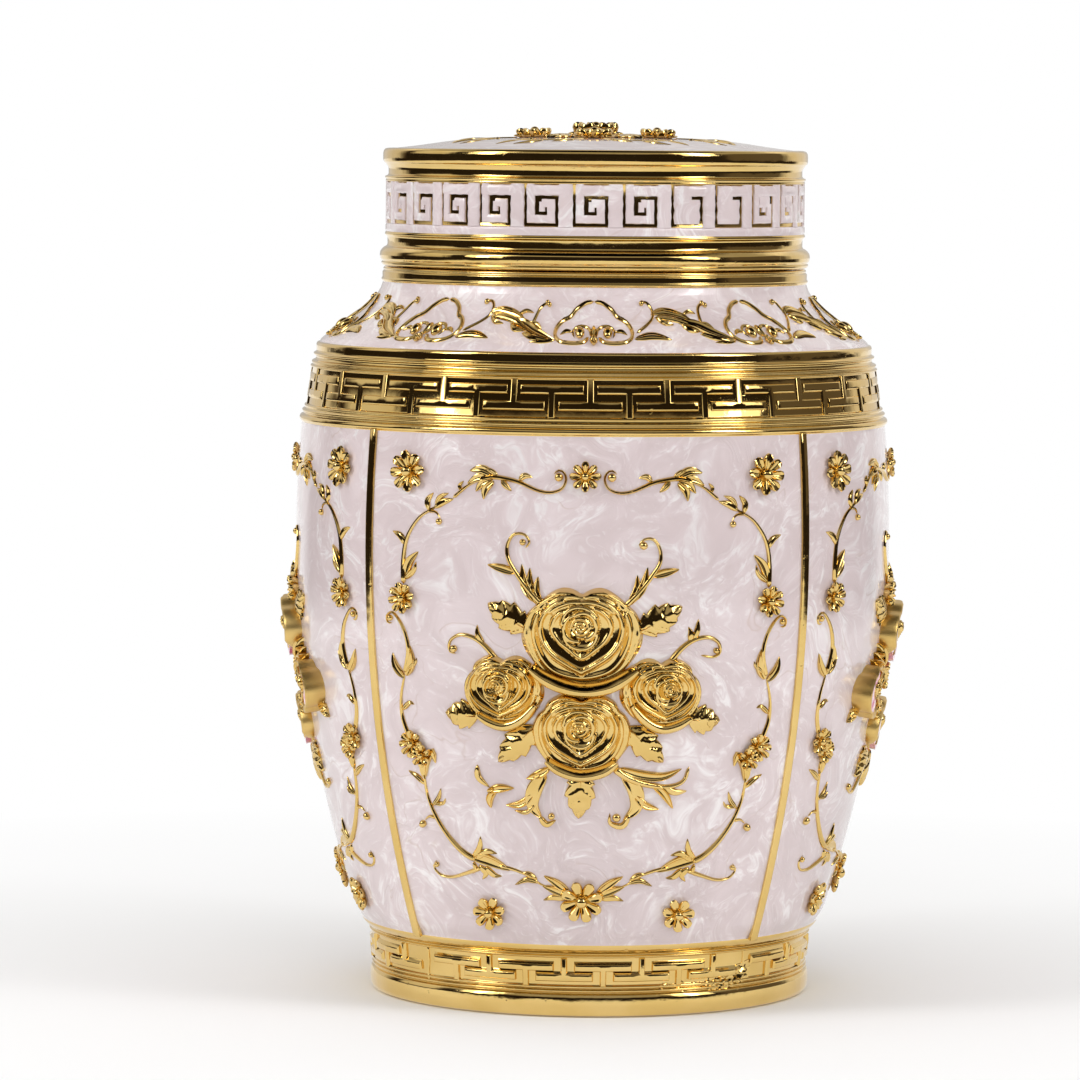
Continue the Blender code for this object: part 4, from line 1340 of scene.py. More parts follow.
@dataclass(frozen=True)
class CastingFlaw:
    """Crumpled metal across the lower band's foot, with scratched ridges beside it.

    Attributes:
        turn: where its middle comes, from the front.
        height: how high its middle is.
        slant: how far its right end is above its middle.
        long: steps along it.
        tall: steps up it.
        crumple: the lowest and the highest fold.
    """

    turn: float = math.radians(40.6)
    height: float = 9.6
    half_long: float = 7.4
    half_tall: float = 2.9
    slant: float = 1.9
    long: int = 26
    tall: int = 12
    crumple: tuple[float, float] = (-0.5, 1.25)
    scratches: int = 16

    def build(self) -> Piece:
        """Makes the flaw and bends it round the band."""
        chance = np.random.default_rng(11)
        folds = chance.uniform(*self.crumple, (self.long + 1, self.tall + 1))

        def place(first: Array, second: Array) -> Array:
            """Places of the corners."""
            along = first / self.long * 2 - 1
            across = np.clip(second / self.tall, 0, 1) * 2 - 1
            edge = np.clip(1.15 - np.hypot(along, across) ** 2, 0, 1)
            rough = folds[first, np.clip(second, 0, self.tall)]
            upper = second <= self.tall
            rise = np.where(upper, 0.15 + edge * rough, -ROOT)
            up = np.where(upper, across, np.sign(self.tall + 1.5 - second)) * self.half_tall
            x = along * self.half_long + 0.5 * rough
            return np.column_stack([x, self.height + self.slant * along + up, rise])

        pattern = Pattern()
        pattern.take(grid_form(self.long, self.tall + 2, place))
        for _ in range(self.scratches):
            x, y = chance.uniform(-25.0, -2.0), chance.uniform(6.9, 9.4)
            run = chance.uniform(1.2, 3.8)
            ends = chance.uniform(-0.5, 0.5, 2)
            points = [(x, y), (x + run * 0.5, y + ends[0]), (x + run, y + ends[1])]
            pattern.blade(points, chance.uniform(0.25, 0.5), lift=0.5)
        return bend_round(pattern.finish("casting_flaw", math.radians(14)), Wall.LOWER_BAND, self.turn)


class Key(Enum):
    """How far the enamel has run over a square spiral."""

    OPEN = 0
    HALF = 1
    FLOODED = 2


@dataclass(frozen=True)
class KeyBand:
    """Raised enamel round the lid, parted by sunk gilt lines that run in square spirals.

    Attributes:
        keys: how many spirals there are.
        turn: where the first one comes.
        low: the lowest line's height.
        high: the top of the enamel.
        half: half the width from a spiral's left line to its right line.
        line: width of the lines.
        lift: how far the enamel stands over them.
        cap: from the enamel's top down to the spirals' top line.
        wide: width of the enamel inside a spiral.
        flooded: the spirals that the enamel has run over.
        half_flooded: the spirals of which it has run over the upper half.
    """

    keys: int = 27
    turn: float = math.radians(0.1)
    low: float = 225.0
    high: float = 236.3
    half: float = 4.6
    line: float = 0.95
    lift: float = 0.62
    cap: float = 3.5
    wide: float = 2.35
    flooded: tuple[int, ...] = (2, 3, 9, 18)
    half_flooded: tuple[int, ...] = (4, 5, 13)

    def strip(self, route: Points, width: float) -> Piece:
        """A strip of enamel with rounded edges and square corners.

        Args:
            route: its corners.
            width: its whole width.
        Returns:
            The flat form.
        """
        path = square_path(route, 1.0)
        first = path[0] + (path[0] - path[1]) * 0.02
        last = path[-1] + (path[-1] - path[-2]) * 0.02
        path = np.vstack([first, path, last])
        ends = np.concatenate([[0.0], np.ones(len(path) - 2), [0.0]])
        waves = np.sin(np.arange(len(path)) * 1.7 + 3.0 * len(path) + route[-1][1])
        half = width / 2 * ends * (1 + 0.045 * waves)
        height = self.lift * (0.6 + 0.4 * ends) * ends
        return Stroke(path, half, half, height, Section.PILLOW, mitred=True, base=0.0).model()

    def cell(self, key: Key) -> list[Piece]:
        """The enamel of one spiral, with the pillar on its right.

        Args:
            key: how far the enamel has run over the lines.
        Returns:
            The flat forms.
        """
        pitch = 2 * math.pi / self.keys * (LID_GROUND + self.lift)
        pillar = pitch - 2 * self.half - self.line
        cap = self.cap - self.line / 2
        top = self.high - self.cap
        wide = self.wide
        left = -self.half + (self.line + wide) / 2
        right = self.half - (self.line + wide) / 2
        foot = self.low + (self.line + wide) / 2
        head = top - (self.line + wide) / 2
        middle = pitch / 2
        forms = [self.strip([(middle, self.high + 0.3), (middle, self.low - 0.6)], pillar)]
        forms.append(self.strip([(middle, self.high - cap / 2), (left - wide / 2, self.high - cap / 2)], cap))
        if key is Key.FLOODED:
            inside = 2 * self.half - self.line
            forms.append(self.strip([(0, top - self.line / 2), (0, self.low + self.line / 2)], inside * 0.98))
            forms.append(self.strip([(-inside / 6, self.high - 0.3), (-inside / 6, top - 2)], inside * 0.65))
            return forms
        inner = left + wide + self.line
        spiral = [(left, self.high + 0.3), (left, foot), (right, foot), (right, head), (inner, head)]
        if key is Key.HALF:
            spiral = spiral[:4]
            forms.append(self.strip([(left + 1.0, self.high - 4.5), (right, self.high - 4.5)], 3.4))
        forms.append(self.strip(spiral, wide))
        forms.append(self.strip([(inner, head + 0.4), (inner, foot + wide / 2 + self.line)], wide * 0.72))
        return forms

    def build(self) -> Piece:
        """Makes every spiral's enamel and bends it round the lid."""
        run_over = {index: Key.FLOODED for index in self.flooded}
        run_over |= {index: Key.HALF for index in self.half_flooded}
        forms = []
        for index in range(self.keys):
            angle = self.turn + index * 2 * math.pi / self.keys
            cell = self.cell(run_over.get(index, Key.OPEN))
            forms += [bend_round(form, Wall.LID_BAND, angle) for form in cell]
        return close_form(join_forms(forms, "lid_keys"), merge=MERGE * MM)


def dome_height(distance: Array) -> Array:
    """Height of the lid's enamel at a distance from its middle."""
    reach = [0, 14, 27, 36, 40, 44, 50, 56, 60]
    height = [249.8, 249.7, 249.4, 249.05, 248.7, 248.2, 247.3, 246.5, 246.1]
    return np.interp(distance, reach, height)


@dataclass(frozen=True)
class DomeFlowers:
    """The gilt flowers and leaves on top of the lid.

    Places in a spray are given as how far out and how far aside they are.

    Attributes:
        ring: from the dome's middle to the flowers round it.
        sprays: how many flowers are round it.
        middle_layers: the half width, petals, height and turn of each layer of the middle flower.
        ring_layers: the same for the flowers round it.
        leaf: from the middle to the foot and to the tip of the leaf between two flowers.
        curl: the places of the curling stem beside a flower.
        blades: which of them each blade grows from, its other places and its half width.
    """

    ring: float = 17.9
    sprays: int = 4
    middle_layers: tuple[tuple[float, int, float, float], ...] = ((8.2, 8, 1.7, 0.0), (7.1, 5, 4.5, 0.4))
    ring_layers: tuple[tuple[float, int, float, float], ...] = ((6.4, 8, 1.0, 0.3), (5.6, 5, 2.8, 0.0))
    leaf: tuple[float, float] = (8.5, 20.0)
    curl: Points = ((31, 6), (35, 14), (31, 21), (28, 18))
    blades: tuple[tuple[int, Points, float], ...] = (
        (0, ((36, 7), (40, 12)), 1.2),
        (1, ((39, 18), (41, 23)), 1.2),
        (2, ((35, 25), (39, 28)), 1.1),
    )

    def build(self) -> Piece:
        """Draws the flowers and lays them on the dome."""
        pattern = Pattern()
        for layer in self.middle_layers:
            pattern.flower(0, 0, *layer)
        for index in range(self.sprays):
            self.draw_spray(pattern, index * 2 * math.pi / self.sprays)
        form = pattern.finish("lid_flowers")
        x, y, out = corners(form).T
        set_corners(form, np.column_stack([x, y, dome_height(np.hypot(x, y)) + out]) * MM)
        return form

    def draw_spray(self, pattern: Pattern, heading: float) -> None:
        """Draws one flower of the ring, the leaf beside it and the two stems that curl out of it."""
        ahead = np.array([math.cos(heading), math.sin(heading)])
        aside = np.array([-ahead[1], ahead[0]])
        middle = ahead * self.ring
        for radius, petals, lift, turn in self.ring_layers:
            pattern.flower(*middle, radius, petals, lift, heading + turn)
        slant = (ahead + aside) / math.sqrt(2)
        foot, tip = self.leaf
        pattern.leaf(slant * foot, slant * tip, width=3.4, lift=1.0)
        for side in (-1, 1):
            curl = [ahead * far + aside * side * beside for far, beside in self.curl]
            pattern.stem([middle + ahead * 5 + aside * side * 1.5, *curl], 0.7, 0.6, rise=0.3)
            pattern.ball(*curl[-1], radius=0.8, lift=-0.5)
            for grows_from, places, width in self.blades:
                blade = [ahead * far + aside * side * beside for far, beside in places]
                pattern.blade([curl[grows_from], *blade], width, lift=0.45)


@dataclass(frozen=True)
class Turned:
    """A turned piece: a profile drawn corner by corner from pole to pole and spun round the urn's axis."""

    name: str
    profile: Points
    steps: int = 160

    def model(self) -> Piece:
        """Draws the profile by extruding a corner, and spins it."""
        deselect()
        bpy.ops.mesh.primitive_plane_add(size=MM)
        piece = bpy.context.object
        piece.name = self.name
        piece.data.name = self.name
        bpy.ops.object.mode_set(mode="EDIT")
        bpy.ops.mesh.select_mode(type="VERT")
        bpy.ops.mesh.select_all(action="SELECT")
        bpy.ops.mesh.merge(type="CENTER")
        here = np.array([self.profile[0][0] * MM, 0.0, self.profile[0][1] * MM])
        bpy.ops.transform.translate(value=tuple(here))
        for radius, height in self.profile[1:]:
            there = np.array([radius * MM, 0.0, height * MM])
            bpy.ops.mesh.extrude_region_move(TRANSFORM_OT_translate={"value": tuple(there - here)})
            here = there
        bpy.ops.mesh.select_all(action="SELECT")
        bpy.ops.mesh.spin(steps=self.steps, angle=2 * math.pi, center=(0, 0, 0), axis=(0, 0, 1))
        bpy.ops.object.mode_set(mode="OBJECT")
        return close_form(piece, merge=0.00001, crease=math.radians(50))


def body_profile() -> list[Point]:
    """The urn's profile from the middle of its underside, up the outside and down the inside."""
    foot = [(0, 0), (62.4, 0), (63.9, 0.5), (64.4, 1.6), (64.55, 3.5), (64.45, 5.4), (64.1, 6.4), (63.3, 6.7)]
    steps = [(63.3, 7), (64, 7.2), (64.05, 7.7), (63.3, 7.9), (63.3, 8.1), (63.9, 8.3), (63.9, 8.9)]
    steps += [(63.4, 9.1), (63.45, 9.6)]
    lower_top = [(64.1, 17.1), (64.8, 17.2), (65, 17.6), (64.5, 17.9), (64.45, 18.2), (65.2, 18.6)]
    lower_top += [(66.3, 19.7), (66.9, 20.4), (66.95, 20.9)]
    barrel = [(67, 21.2), (67.9, 22.6), (68.6, 23.8)]
    barrel += [(Wall.BARREL.radius(height), height) for height in np.linspace(25.5, 166.2, 16)]
    upper = [(85.6, 166.7), (86.1, 167.1), (86.2, 167.7), (85.9, 168.4), (85.1, 168.8), (85, 169.2)]
    upper += [(85.4, 169.5), (85.4, 170), (84.7, 170.4), (84.6, 170.8), (84.8, 171.1), (84.6, 171.5)]
    upper += [(83.9, 171.8), (82.3, 182.3), (83, 182.5), (83, 182.9), (82.4, 183.2), (82.4, 183.5)]
    upper += [(82.7, 183.7), (82.6, 184.2), (81.7, 184.5), (81.4, 185.1), (81.5, 185.7), (82.1, 186)]
    upper += [(82.1, 186.5), (81.4, 186.8), (81.3, 187.2), (81.35, 188.9), (81.1, 189.5), (80.6, 189.7)]
    shoulder = [(80.3, 189.8), (79.9, 190.5)]
    shoulder += [(Wall.SHOULDER.radius(height), height) for height in np.linspace(191.3, 207.2, 10)]
    collar = [(62.1, 207.6), (62.4, 207.9), (62.4, 208.4), (62.1, 208.7), (62.15, 210.3), (61.8, 210.6)]
    collar += [(61.7, 210.9), (61.9, 211.1), (61.8, 211.5), (61.4, 211.8), (56.4, 211.8), (56, 212.2)]
    neck = [(56, 227.4), (55.5, 228), (54.3, 228), (53.8, 227.5), (53.8, 204.5)]
    inside = [(Wall.SHOULDER.radius(196.0) - BODY_WALL, 193.8), (76.9, 187.4)]
    inside += [(Wall.BARREL.radius(height) - BODY_WALL, height) for height in np.linspace(166.8, 32.0, 6)]
    inside += [(61.6, 18.8), (61.6, 3.4), (61.2, 3), (0, 3)]
    outside = [*foot, *steps, *lower_top, *barrel, *upper, *shoulder, *collar]
    return softened([*outside, *neck, *inside], SOFTENING)


def lid_profile() -> list[Point]:
    """The lid's profile from the middle of its dome, down the outside and up the inside."""
    reach = (0, 12, 22, 30, 35, 38, 40, 42, 44, 47, 50, 54, 58, 59.6)
    dome = [(radius, dome_height(radius)) for radius in reach]
    rim = [(60.3, 246.3), (61.4, 246.1), (61.9, 245.6), (62.1, 244.8), (62.1, 243), (61.9, 242.3)]
    rim += [(61.3, 241.8), (60.7, 240.9), (60.5, 240.4), (60.5, 238.7), (60.9, 238.3), (61.5, 238.1)]
    rim += [(61.5, 237.6), (61.2, 237.3), (61.3, 237), (61.3, 236.6)]
    band = [(LID_GROUND, 236.5), (LID_GROUND, 224.5)]
    band += [(61.1, 224.35), (61.35, 223.9), (61.35, 222.5), (61.2, 222)]
    ring = [(61.4, 221.7), (61.5, 221.1), (61, 220.7), (60.75, 220.3), (60.7, 218.4), (60.9, 217.8)]
    ring += [(61.6, 217.5), (62.2, 217), (62.8, 216.2), (62.95, 215.2), (62.8, 214.1), (62.3, 213.6)]
    ring += [(62.2, 213.3), (62.5, 213.1), (62.4, 212.5), (61.9, 212.1)]
    inside = [(58.2, 212.1), (57.8, 212.5), (57.8, 239.6), (53.8, 243.6), (0, 243.6)]
    return softened([*dome, *rim, *band, *ring, *inside], SOFTENING)


class Shade:
    """A shader socket with arithmetic, so that a pattern reads as a formula."""

    def __init__(self, nodes: "Nodes", socket: bpy.types.NodeSocket) -> None:
        """Wraps a node's output."""
        self.nodes = nodes
        self.socket = socket

    def math(self, operation: str, *others: "Shade | float") -> "Shade":
        """Adds a Math node on this value.

        Args:
            operation: the Math node's operation.
            others: its other values.
        Returns:
            The node's result.
        """
        inputs = dict(enumerate((self, *others)))
        return self.nodes.node("ShaderNodeMath", {"operation": operation}, inputs).out("Value")

    def out(self, name: str) -> "Shade":
        """Another output of the same node."""
        return Shade(self.nodes, self.socket.node.outputs[name])

    def __add__(self, other: "Shade | float") -> "Shade":
        """Sum."""
        return self.math("ADD", other)

    __radd__ = __add__

    def __sub__(self, other: "Shade | float") -> "Shade":
        """Difference."""
        return self.math("SUBTRACT", other)

    def __rsub__(self, other: float) -> "Shade":
        """Difference from a number."""
        return (self * -1.0) + other

    def __mul__(self, other: "Shade | float") -> "Shade":
        """Product."""
        return self.math("MULTIPLY", other)

    __rmul__ = __mul__

    def __pow__(self, power: float) -> "Shade":
        """Power."""
        return self.math("POWER", power)

    def clamped(self) -> "Shade":
        """The value kept between 0 and 1."""
        return self.math("MAXIMUM", 0.0).math("MINIMUM", 1.0)

    def ridge(self, sharpness: float) -> "Shade":
        """Thin lines where the value passes one half."""
        return (1.0 - ((self - 0.5).math("ABSOLUTE") * sharpness)).clamped()

    def steep(self, low: float, high: float) -> "Shade":
        """0 below one value and 1 above another, with a smooth step between."""
        settings = {"interpolation_type": "SMOOTHSTEP"}
        inputs = {"Value": self, "From Min": low, "From Max": high}
        return self.nodes.node("ShaderNodeMapRange", settings, inputs).out("Result")


class Nodes:
    """A node tree under construction."""

    def __init__(self, tree: bpy.types.NodeTree) -> None:
        """Keeps the tree."""
        self.tree = tree

    def node(self, kind: str, settings: dict | None = None, inputs: dict | None = None) -> Shade:
        """Adds a node.

        Args:
            kind: the node's type.
            settings: its own properties, set first.
            inputs: the values or links of its sockets, by name or place.
        Returns:
            Its first output.
        """
        made = self.tree.nodes.new(kind)
        for name, value in (settings or {}).items():
            setattr(made, name, value)
        for name, value in (inputs or {}).items():
            self.feed(made.inputs[name], value)
        return Shade(self, made.outputs[0])

    def feed(self, socket: bpy.types.NodeSocket, value: "Shade | float | Sequence[float]") -> None:
        """Links a shade to a socket, or sets its value."""
        if isinstance(value, Shade):
            self.tree.links.new(value.socket, socket)
        else:
            socket.default_value = value

    def place(self) -> Shade:
        """Places on the piece, in metres."""
        return self.node("ShaderNodeTexCoord").out("Object")

    def noise(self, place: Shade, scale: float, detail: float = 3.0, distortion: float = 0.0) -> Shade:
        """A noise pattern; its Color output holds three of them."""
        inputs = {"Vector": place, "Scale": scale, "Detail": detail, "Distortion": distortion}
        return self.node("ShaderNodeTexNoise", None, inputs)

    def moved(self, place: Shade, by: Shade, reach: float) -> Shade:
        """Places pushed about by a noise pattern's colours."""
        middle = (0.5, 0.5, 0.5)
        centred = self.vector_math("SUBTRACT", {0: by.out("Color"), 1: middle})
        pushed = self.vector_math("SCALE", {0: centred, "Scale": reach})
        return self.vector_math("ADD", {0: place, 1: pushed})

    def vector_math(self, operation: str, inputs: dict) -> Shade:
        """A Vector Math node."""
        return self.node("ShaderNodeVectorMath", {"operation": operation}, inputs)

    def mix_shader(self, share: Shade, first: Shade, second: Shade) -> Shade:
        """A mix of two shaders."""
        return self.node("ShaderNodeMixShader", None, {0: share, 1: first, 2: second})

    def glow(self, kind: str, colour: "Shade | Colour", strength: "Shade | float" = 1.0) -> Shade:
        """An Emission or a Background shader."""
        return self.node(f"ShaderNode{kind}", None, {"Color": colour, "Strength": strength})

    def blend(self, share: "Shade | float", low: "Shade | Colour", high: "Shade | Colour") -> Shade:
        """A mix of two colours."""
        mix = self.node("ShaderNodeMix", {"data_type": "RGBA"}, {0: share, 6: low, 7: high})
        return Shade(self, mix.socket.node.outputs[2])

    def bump(self, height: Shade, distance: float, strength: float = 1.0) -> Shade:
        """A bumped surface direction."""
        inputs = {"Height": height, "Distance": distance, "Strength": strength}
        return self.node("ShaderNodeBump", None, inputs)


class Surface(Nodes):
    """A material under construction: one Principled shader and the nodes that feed it."""

    def __init__(self, name: str) -> None:
        """Makes an empty material with its shader."""
        self.material = bpy.data.materials.new(name)
        self.material.use_nodes = True
        super().__init__(self.material.node_tree)
        self.shader = self.tree.nodes["Principled BSDF"]

    def set(self, **values: "Shade | float | Sequence[float]") -> None:
        """Feeds the shader's sockets, named with _ for a space."""
        for name, value in values.items():
            self.feed(self.shader.inputs[name.replace("_", " ")], value)


@dataclass(frozen=True)
class GiltFinish:
    """Polished gold plate over a casting: bright, with soft waves and a few pits."""

    name: str = "gilt"
    slot: str = "gilt_brass"
    bright: Colour = (0.82, 0.585, 0.22, 1.0)
    deep: Colour = (0.76, 0.525, 0.175, 1.0)
    roughness: float = 0.07

    def make(self) -> bpy.types.Material:
        """Makes the material."""
        surface = Surface(self.name)
        place = surface.place()
        patches = surface.noise(place, 60.0, 4.0)
        waves = surface.noise(place, 110.0, 2.0)
        grain = surface.noise(place, 900.0, 3.0)
        pits = surface.noise(place, 420.0, 2.0).steep(0.68, 0.76)
        surface.set(
            Base_Color=surface.blend(patches.steep(0.35, 0.65), self.deep, self.bright),
            Metallic=1.0,
            Roughness=self.roughness + patches.steep(0.4, 0.7) * 0.03 + pits * 0.1,
            Normal=surface.bump(waves * 0.8 + grain * 0.05 - pits * 0.1, 0.0006, 0.35),
        )
        return surface.material


@dataclass(frozen=True)
class PearlFinish:
    """Pearl enamel: pale pink with flowing white and rosy swirls under a clear gloss; the white swirls are
    partly the pearl's own white and partly painted sheen.
    """

    name: str = "pearl_enamel"
    slot: str = "pearl_enamel"
    shade: Colour = (0.62, 0.52, 0.525, 1.0)
    ground: Colour = (0.70, 0.60, 0.61, 1.0)
    white_and_sheen: Colour = (0.90, 0.87, 0.87, 1.0)
    crease: Colour = (0.50, 0.36, 0.30, 1.0)

    def make(self) -> bpy.types.Material:
        """Makes the material."""
        surface = Surface(self.name)
        place = surface.place()
        drift = surface.moved(place, surface.noise(place, 24.0, 2.0), 0.06)
        swirl = surface.moved(drift, surface.noise(drift, 70.0, 2.0), 0.016)
        cloud = surface.noise(drift, 34.0, 3.0, 0.5)
        flow = surface.noise(swirl, 62.0, 4.0, 1.6)
        fine = surface.noise(swirl, 190.0, 5.0, 2.0)
        folds = surface.noise(swirl, 22.0, 2.0, 0.8)
        pale = flow.steep(0.36, 0.62) * 0.5 + cloud.steep(0.42, 0.6) * 0.5
        colour = surface.blend(pale, self.shade, self.ground)
        # White swirls, partly the pearl's own white and partly painted sheen; the same share raises metallic
        # and lowers roughness.
        white_and_sheen_share = (flow.steep(0.5, 0.66) * fine.steep(0.36, 0.6) * 0.85 + fine.steep(0.55, 0.7) * 0.4).clamped()
        colour = surface.blend(white_and_sheen_share * 0.75, colour, self.white_and_sheen)
        creased = folds.ridge(120.0) * cloud.steep(0.48, 0.56)
        colour = surface.blend(creased * 0.4, colour, self.crease)
        lumps = surface.noise(place, 75.0, 2.0)
        surface.set(
            Base_Color=colour,
            Metallic=0.04 + white_and_sheen_share * 0.14,
            Roughness=0.4 - white_and_sheen_share * 0.12,
            Coat_Weight=1.0,
            Coat_Roughness=0.06,
            Normal=surface.bump(lumps * 1.2 + flow * 0.4 + fine * 0.16 - creased * 0.06, 0.0024, 0.5),
        )
        return surface.material


@dataclass(frozen=True)
class PinkFinish:
    """Glossy pink enamel on the side blossoms, paler in random clouds."""

    name: str = "pink_enamel"
    slot: str = "pink_enamel"
    deep: Colour = (0.56, 0.06, 0.20, 1.0)
    pale: Colour = (0.85, 0.42, 0.52, 1.0)

    def make(self) -> bpy.types.Material:
        """Makes the material."""
        surface = Surface(self.name)
        place = surface.place()
        drift = surface.moved(place, surface.noise(place, 90.0, 2.0), 0.012)
        cloud = surface.noise(drift, 130.0, 3.0)
        surface.set(
            Base_Color=surface.blend(cloud.steep(0.35, 0.68), self.deep, self.pale),
            Roughness=0.3,
            Coat_Weight=1.0,
            Coat_Roughness=0.05,
            Normal=surface.bump(surface.noise(place, 160.0, 2.0), 0.0012, 0.4),
        )
        return surface.material


Finish = GiltFinish | PearlFinish | PinkFinish


class Finisher:
    """Gives each finished piece its materials and its body."""

    def __init__(self) -> None:
        """Makes the four finishes."""
        self.gilt = GiltFinish()
        self.satin = GiltFinish("satin_gilt", roughness=0.38)
        self.pearl = PearlFinish()
        self.pink = PinkFinish()
        self.made = {finish.name: finish.make() for finish in (self.gilt, self.satin, self.pearl, self.pink)}

    def dress(self, piece: Piece, *finishes: Finish) -> Piece:
        """Puts finishes on a piece and lets it ride.

        Args:
            piece: the finished mesh.
            finishes: its finishes, in the order of its material indices.
        Returns:
            The same piece.
        """
        piece.data.materials.clear()
        for finish in finishes:
            piece.data.materials.append(self.made[finish.name])
        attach(piece, "root")
        LOG.info("%s: %d faces", piece.name, len(piece.data.polygons))
        return piece


class Urn(Finisher):
    """The whole urn: its turned body and lid, and the relief on them."""

    ENAMEL = ((21.0, 166.5), (189.75, 207.5), (222.05, 224.45), (246.15, 250.5))

    def enamel_faces(self, piece: Piece, outer: Callable[[float, float], bool]) -> None:
        """Marks the faces of the enamelled grounds, which take the second material."""
        for face in piece.data.polygons:
            height = face.center.z / MM
            reach = math.hypot(face.center.x, face.center.y) / MM
            inside = any(low < height < high for low, high in self.ENAMEL)
            if inside and outer(reach, height):
                face.material_index = 1

    def turned_body(self) -> None:
        """The body, which stands for the solid body."""
        body = Turned("urn_vessel", body_profile()).model()
        self.dress(body, self.gilt, self.pearl)

        def outer(reach: float, height: float) -> bool:
            """Whether a face is on the outside of the barrel or the shoulder."""
            wall = Wall.BARREL if height < 180 else Wall.SHOULDER
            return reach > wall.radius(height) - 1.2

        self.enamel_faces(body, outer)
        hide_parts("urn_body")

    def turned_lid(self) -> None:
        """The lid, which stands for the solid lid."""
        lid = Turned("lid_shell", lid_profile()).model()
        self.dress(lid, self.gilt, self.pearl)
        self.enamel_faces(lid, lambda reach, height: reach < 60.3 if height > 244 else reach > 60.9)
        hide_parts("lid")

    def frets(self) -> None:
        """The two bands of Ts, the four ribs, the flaw in the lower band and the parting lines."""
        upper = FretBand(
            "upper_fret", Wall.UPPER_BAND, low=171.9, high=182.3, bars=(173.6, 178.2),
            bar=18.1, thick=2.6, post=2.1, slope=0.44, lift=0.4,
        )
        turn = math.radians(0.8)
        angles = [turn + math.radians(7.5) * (index + 1) for index in range(48)]
        self.dress(upper.build(angles), self.gilt)
        lower = FretBand(
            "lower_fret", Wall.LOWER_BAND, low=9.7, high=17.1, bars=(10.6, 13.5),
            bar=16.6, thick=2.5, post=1.9, slope=0.5, lift=0.85, sink=0.5,
        )
        corner = -QUARTER / 2
        pitch = math.radians(10)
        angles = [corner + quarter * QUARTER + pitch * step for quarter in range(4) for step in range(1, 9)]
        self.dress(lower.build(angles), self.gilt)
        self.dress(Ribs().build(), self.gilt)
        self.dress(CastingFlaw().build(), self.gilt)
        self.seams()

    def seams(self) -> None:
        """Fine upright parting lines of the casting, on the two bands."""
        lines = (
            (Wall.LOWER_BAND, [(0.2, 6.9), (-0.2, 10), (0.25, 13.5), (0, 18.2)], 0.4, (45, 135, 225, 315)),
            (Wall.UPPER_BAND, [(0, 171.6), (0.1, 177), (0, 182.5)], 0.22, (-60, 60, 180)),
        )
        made = []
        for wall, points, half, angles in lines:
            pattern = Pattern()
            pattern.stem(points, half, 1.0)
            turns = [math.radians(angle) for angle in angles]
            made += self.copies_round(pattern.finish("seam"), "seam", wall, turns)
        self.dress(join_forms(made, "casting_seams"), self.gilt)

    def copies_round(
        self, form: Piece, name: str, wall: Wall, angles: Iterable[float], mirrored: bool = False
    ) -> list[Piece]:
        """Copies a flat form round a wall and removes the form.

        Args:
            form: the flat form.
            name: the copies' name.
            wall: the wall that they lie on.
            angles: where they come.
            mirrored: whether each has its mirror image beside it.
        Returns:
            The copies.
        """
        copies = []
        for index, angle in enumerate(angles):
            copies.append(bend_round(copy_of(form, f"{name}_{index}"), wall, angle))
            if mirrored:
                twin = mirror_form(copy_of(form, f"{name}_{index}m"))
                copies.append(bend_round(twin, wall, angle))
        bpy.data.objects.remove(form)
        return copies

    def panels(self) -> None:
        """The sprays and the vines on the four panels."""
        gilt = self.gilt
        spray = RoseSpray().draw()
        for angle, name in ((0.0, "front_roses"), (math.pi, "back_roses")):
            piece = bend_round(copy_of(spray, name), Wall.BARREL, angle)
            self.dress(piece, gilt)
        bpy.data.objects.remove(spray)
        blossoms = BlossomSpray()
        for form, name, finish in (
            (blossoms.walls(), "side_blossoms", self.satin),
            (blossoms.foliage(), "blossom_leaves", gilt),
            (blossoms.faces(), "blossom_enamel", self.pink),
        ):
            for piece in self.copies_round(form, name, Wall.BARREL, (QUARTER, -QUARTER)):
                self.dress(piece, finish)
        vine = Vine()
        angles = [quarter * QUARTER for quarter in range(4)]
        halves = self.copies_round(vine.draw_half(), "vine", Wall.BARREL, angles, mirrored=True)
        middles = self.copies_round(vine.draw_middle(), "vine_middle", Wall.BARREL, angles)
        for side, quarter in zip(("front", "right", "back", "left"), range(4)):
            pieces = [*halves[2 * quarter : 2 * quarter + 2], middles[quarter]]
            self.dress(join_forms(pieces, f"{side}_vine"), gilt)

    def shoulder(self) -> None:
        """The scrolls round the shoulder."""
        scroll = ShoulderScroll()
        step = 2 * math.pi / scroll.motifs
        angles = [scroll.turn + step * index for index in range(scroll.motifs)]
        motifs = self.copies_round(scroll.draw(), "scroll", Wall.SHOULDER, angles)
        halfway = [angle + step / 2 for angle in angles]
        between = self.copies_round(scroll.draw_between(), "scroll_leaf", Wall.SHOULDER, halfway)
        self.dress(join_forms([*motifs, *between], "shoulder_scrolls"), self.gilt)

    def build(self) -> None:
        """Builds every piece in order."""
        self.turned_body()
        self.turned_lid()
        self.frets()
        self.panels()
        self.shoulder()
        self.dress(KeyBand().build(), self.pearl)
        self.dress(DomeFlowers().build(), self.gilt)


@dataclass(frozen=True)
class Softbox:
    """A soft light, in metres and watts, which polished surfaces reflect where it is mirrored."""

    name: str
    place: tuple[float, float, float]
    size: tuple[float, float]
    power: float
    mirrored: bool = True

    def build(self, target: Vector) -> None:
        """Sets the light up, turned to a target."""
        light = bpy.data.lights.new(self.name, "AREA")
        light.shape = "RECTANGLE"
        light.size, light.size_y = self.size
        light.energy = self.power
        holder = bpy.data.objects.new(self.name, light)
        bpy.context.scene.collection.objects.link(holder)
        holder.location = self.place
        holder.rotation_euler = (target - Vector(self.place)).to_track_quat("-Z", "Y").to_euler()
        holder.visible_glossy = self.mirrored


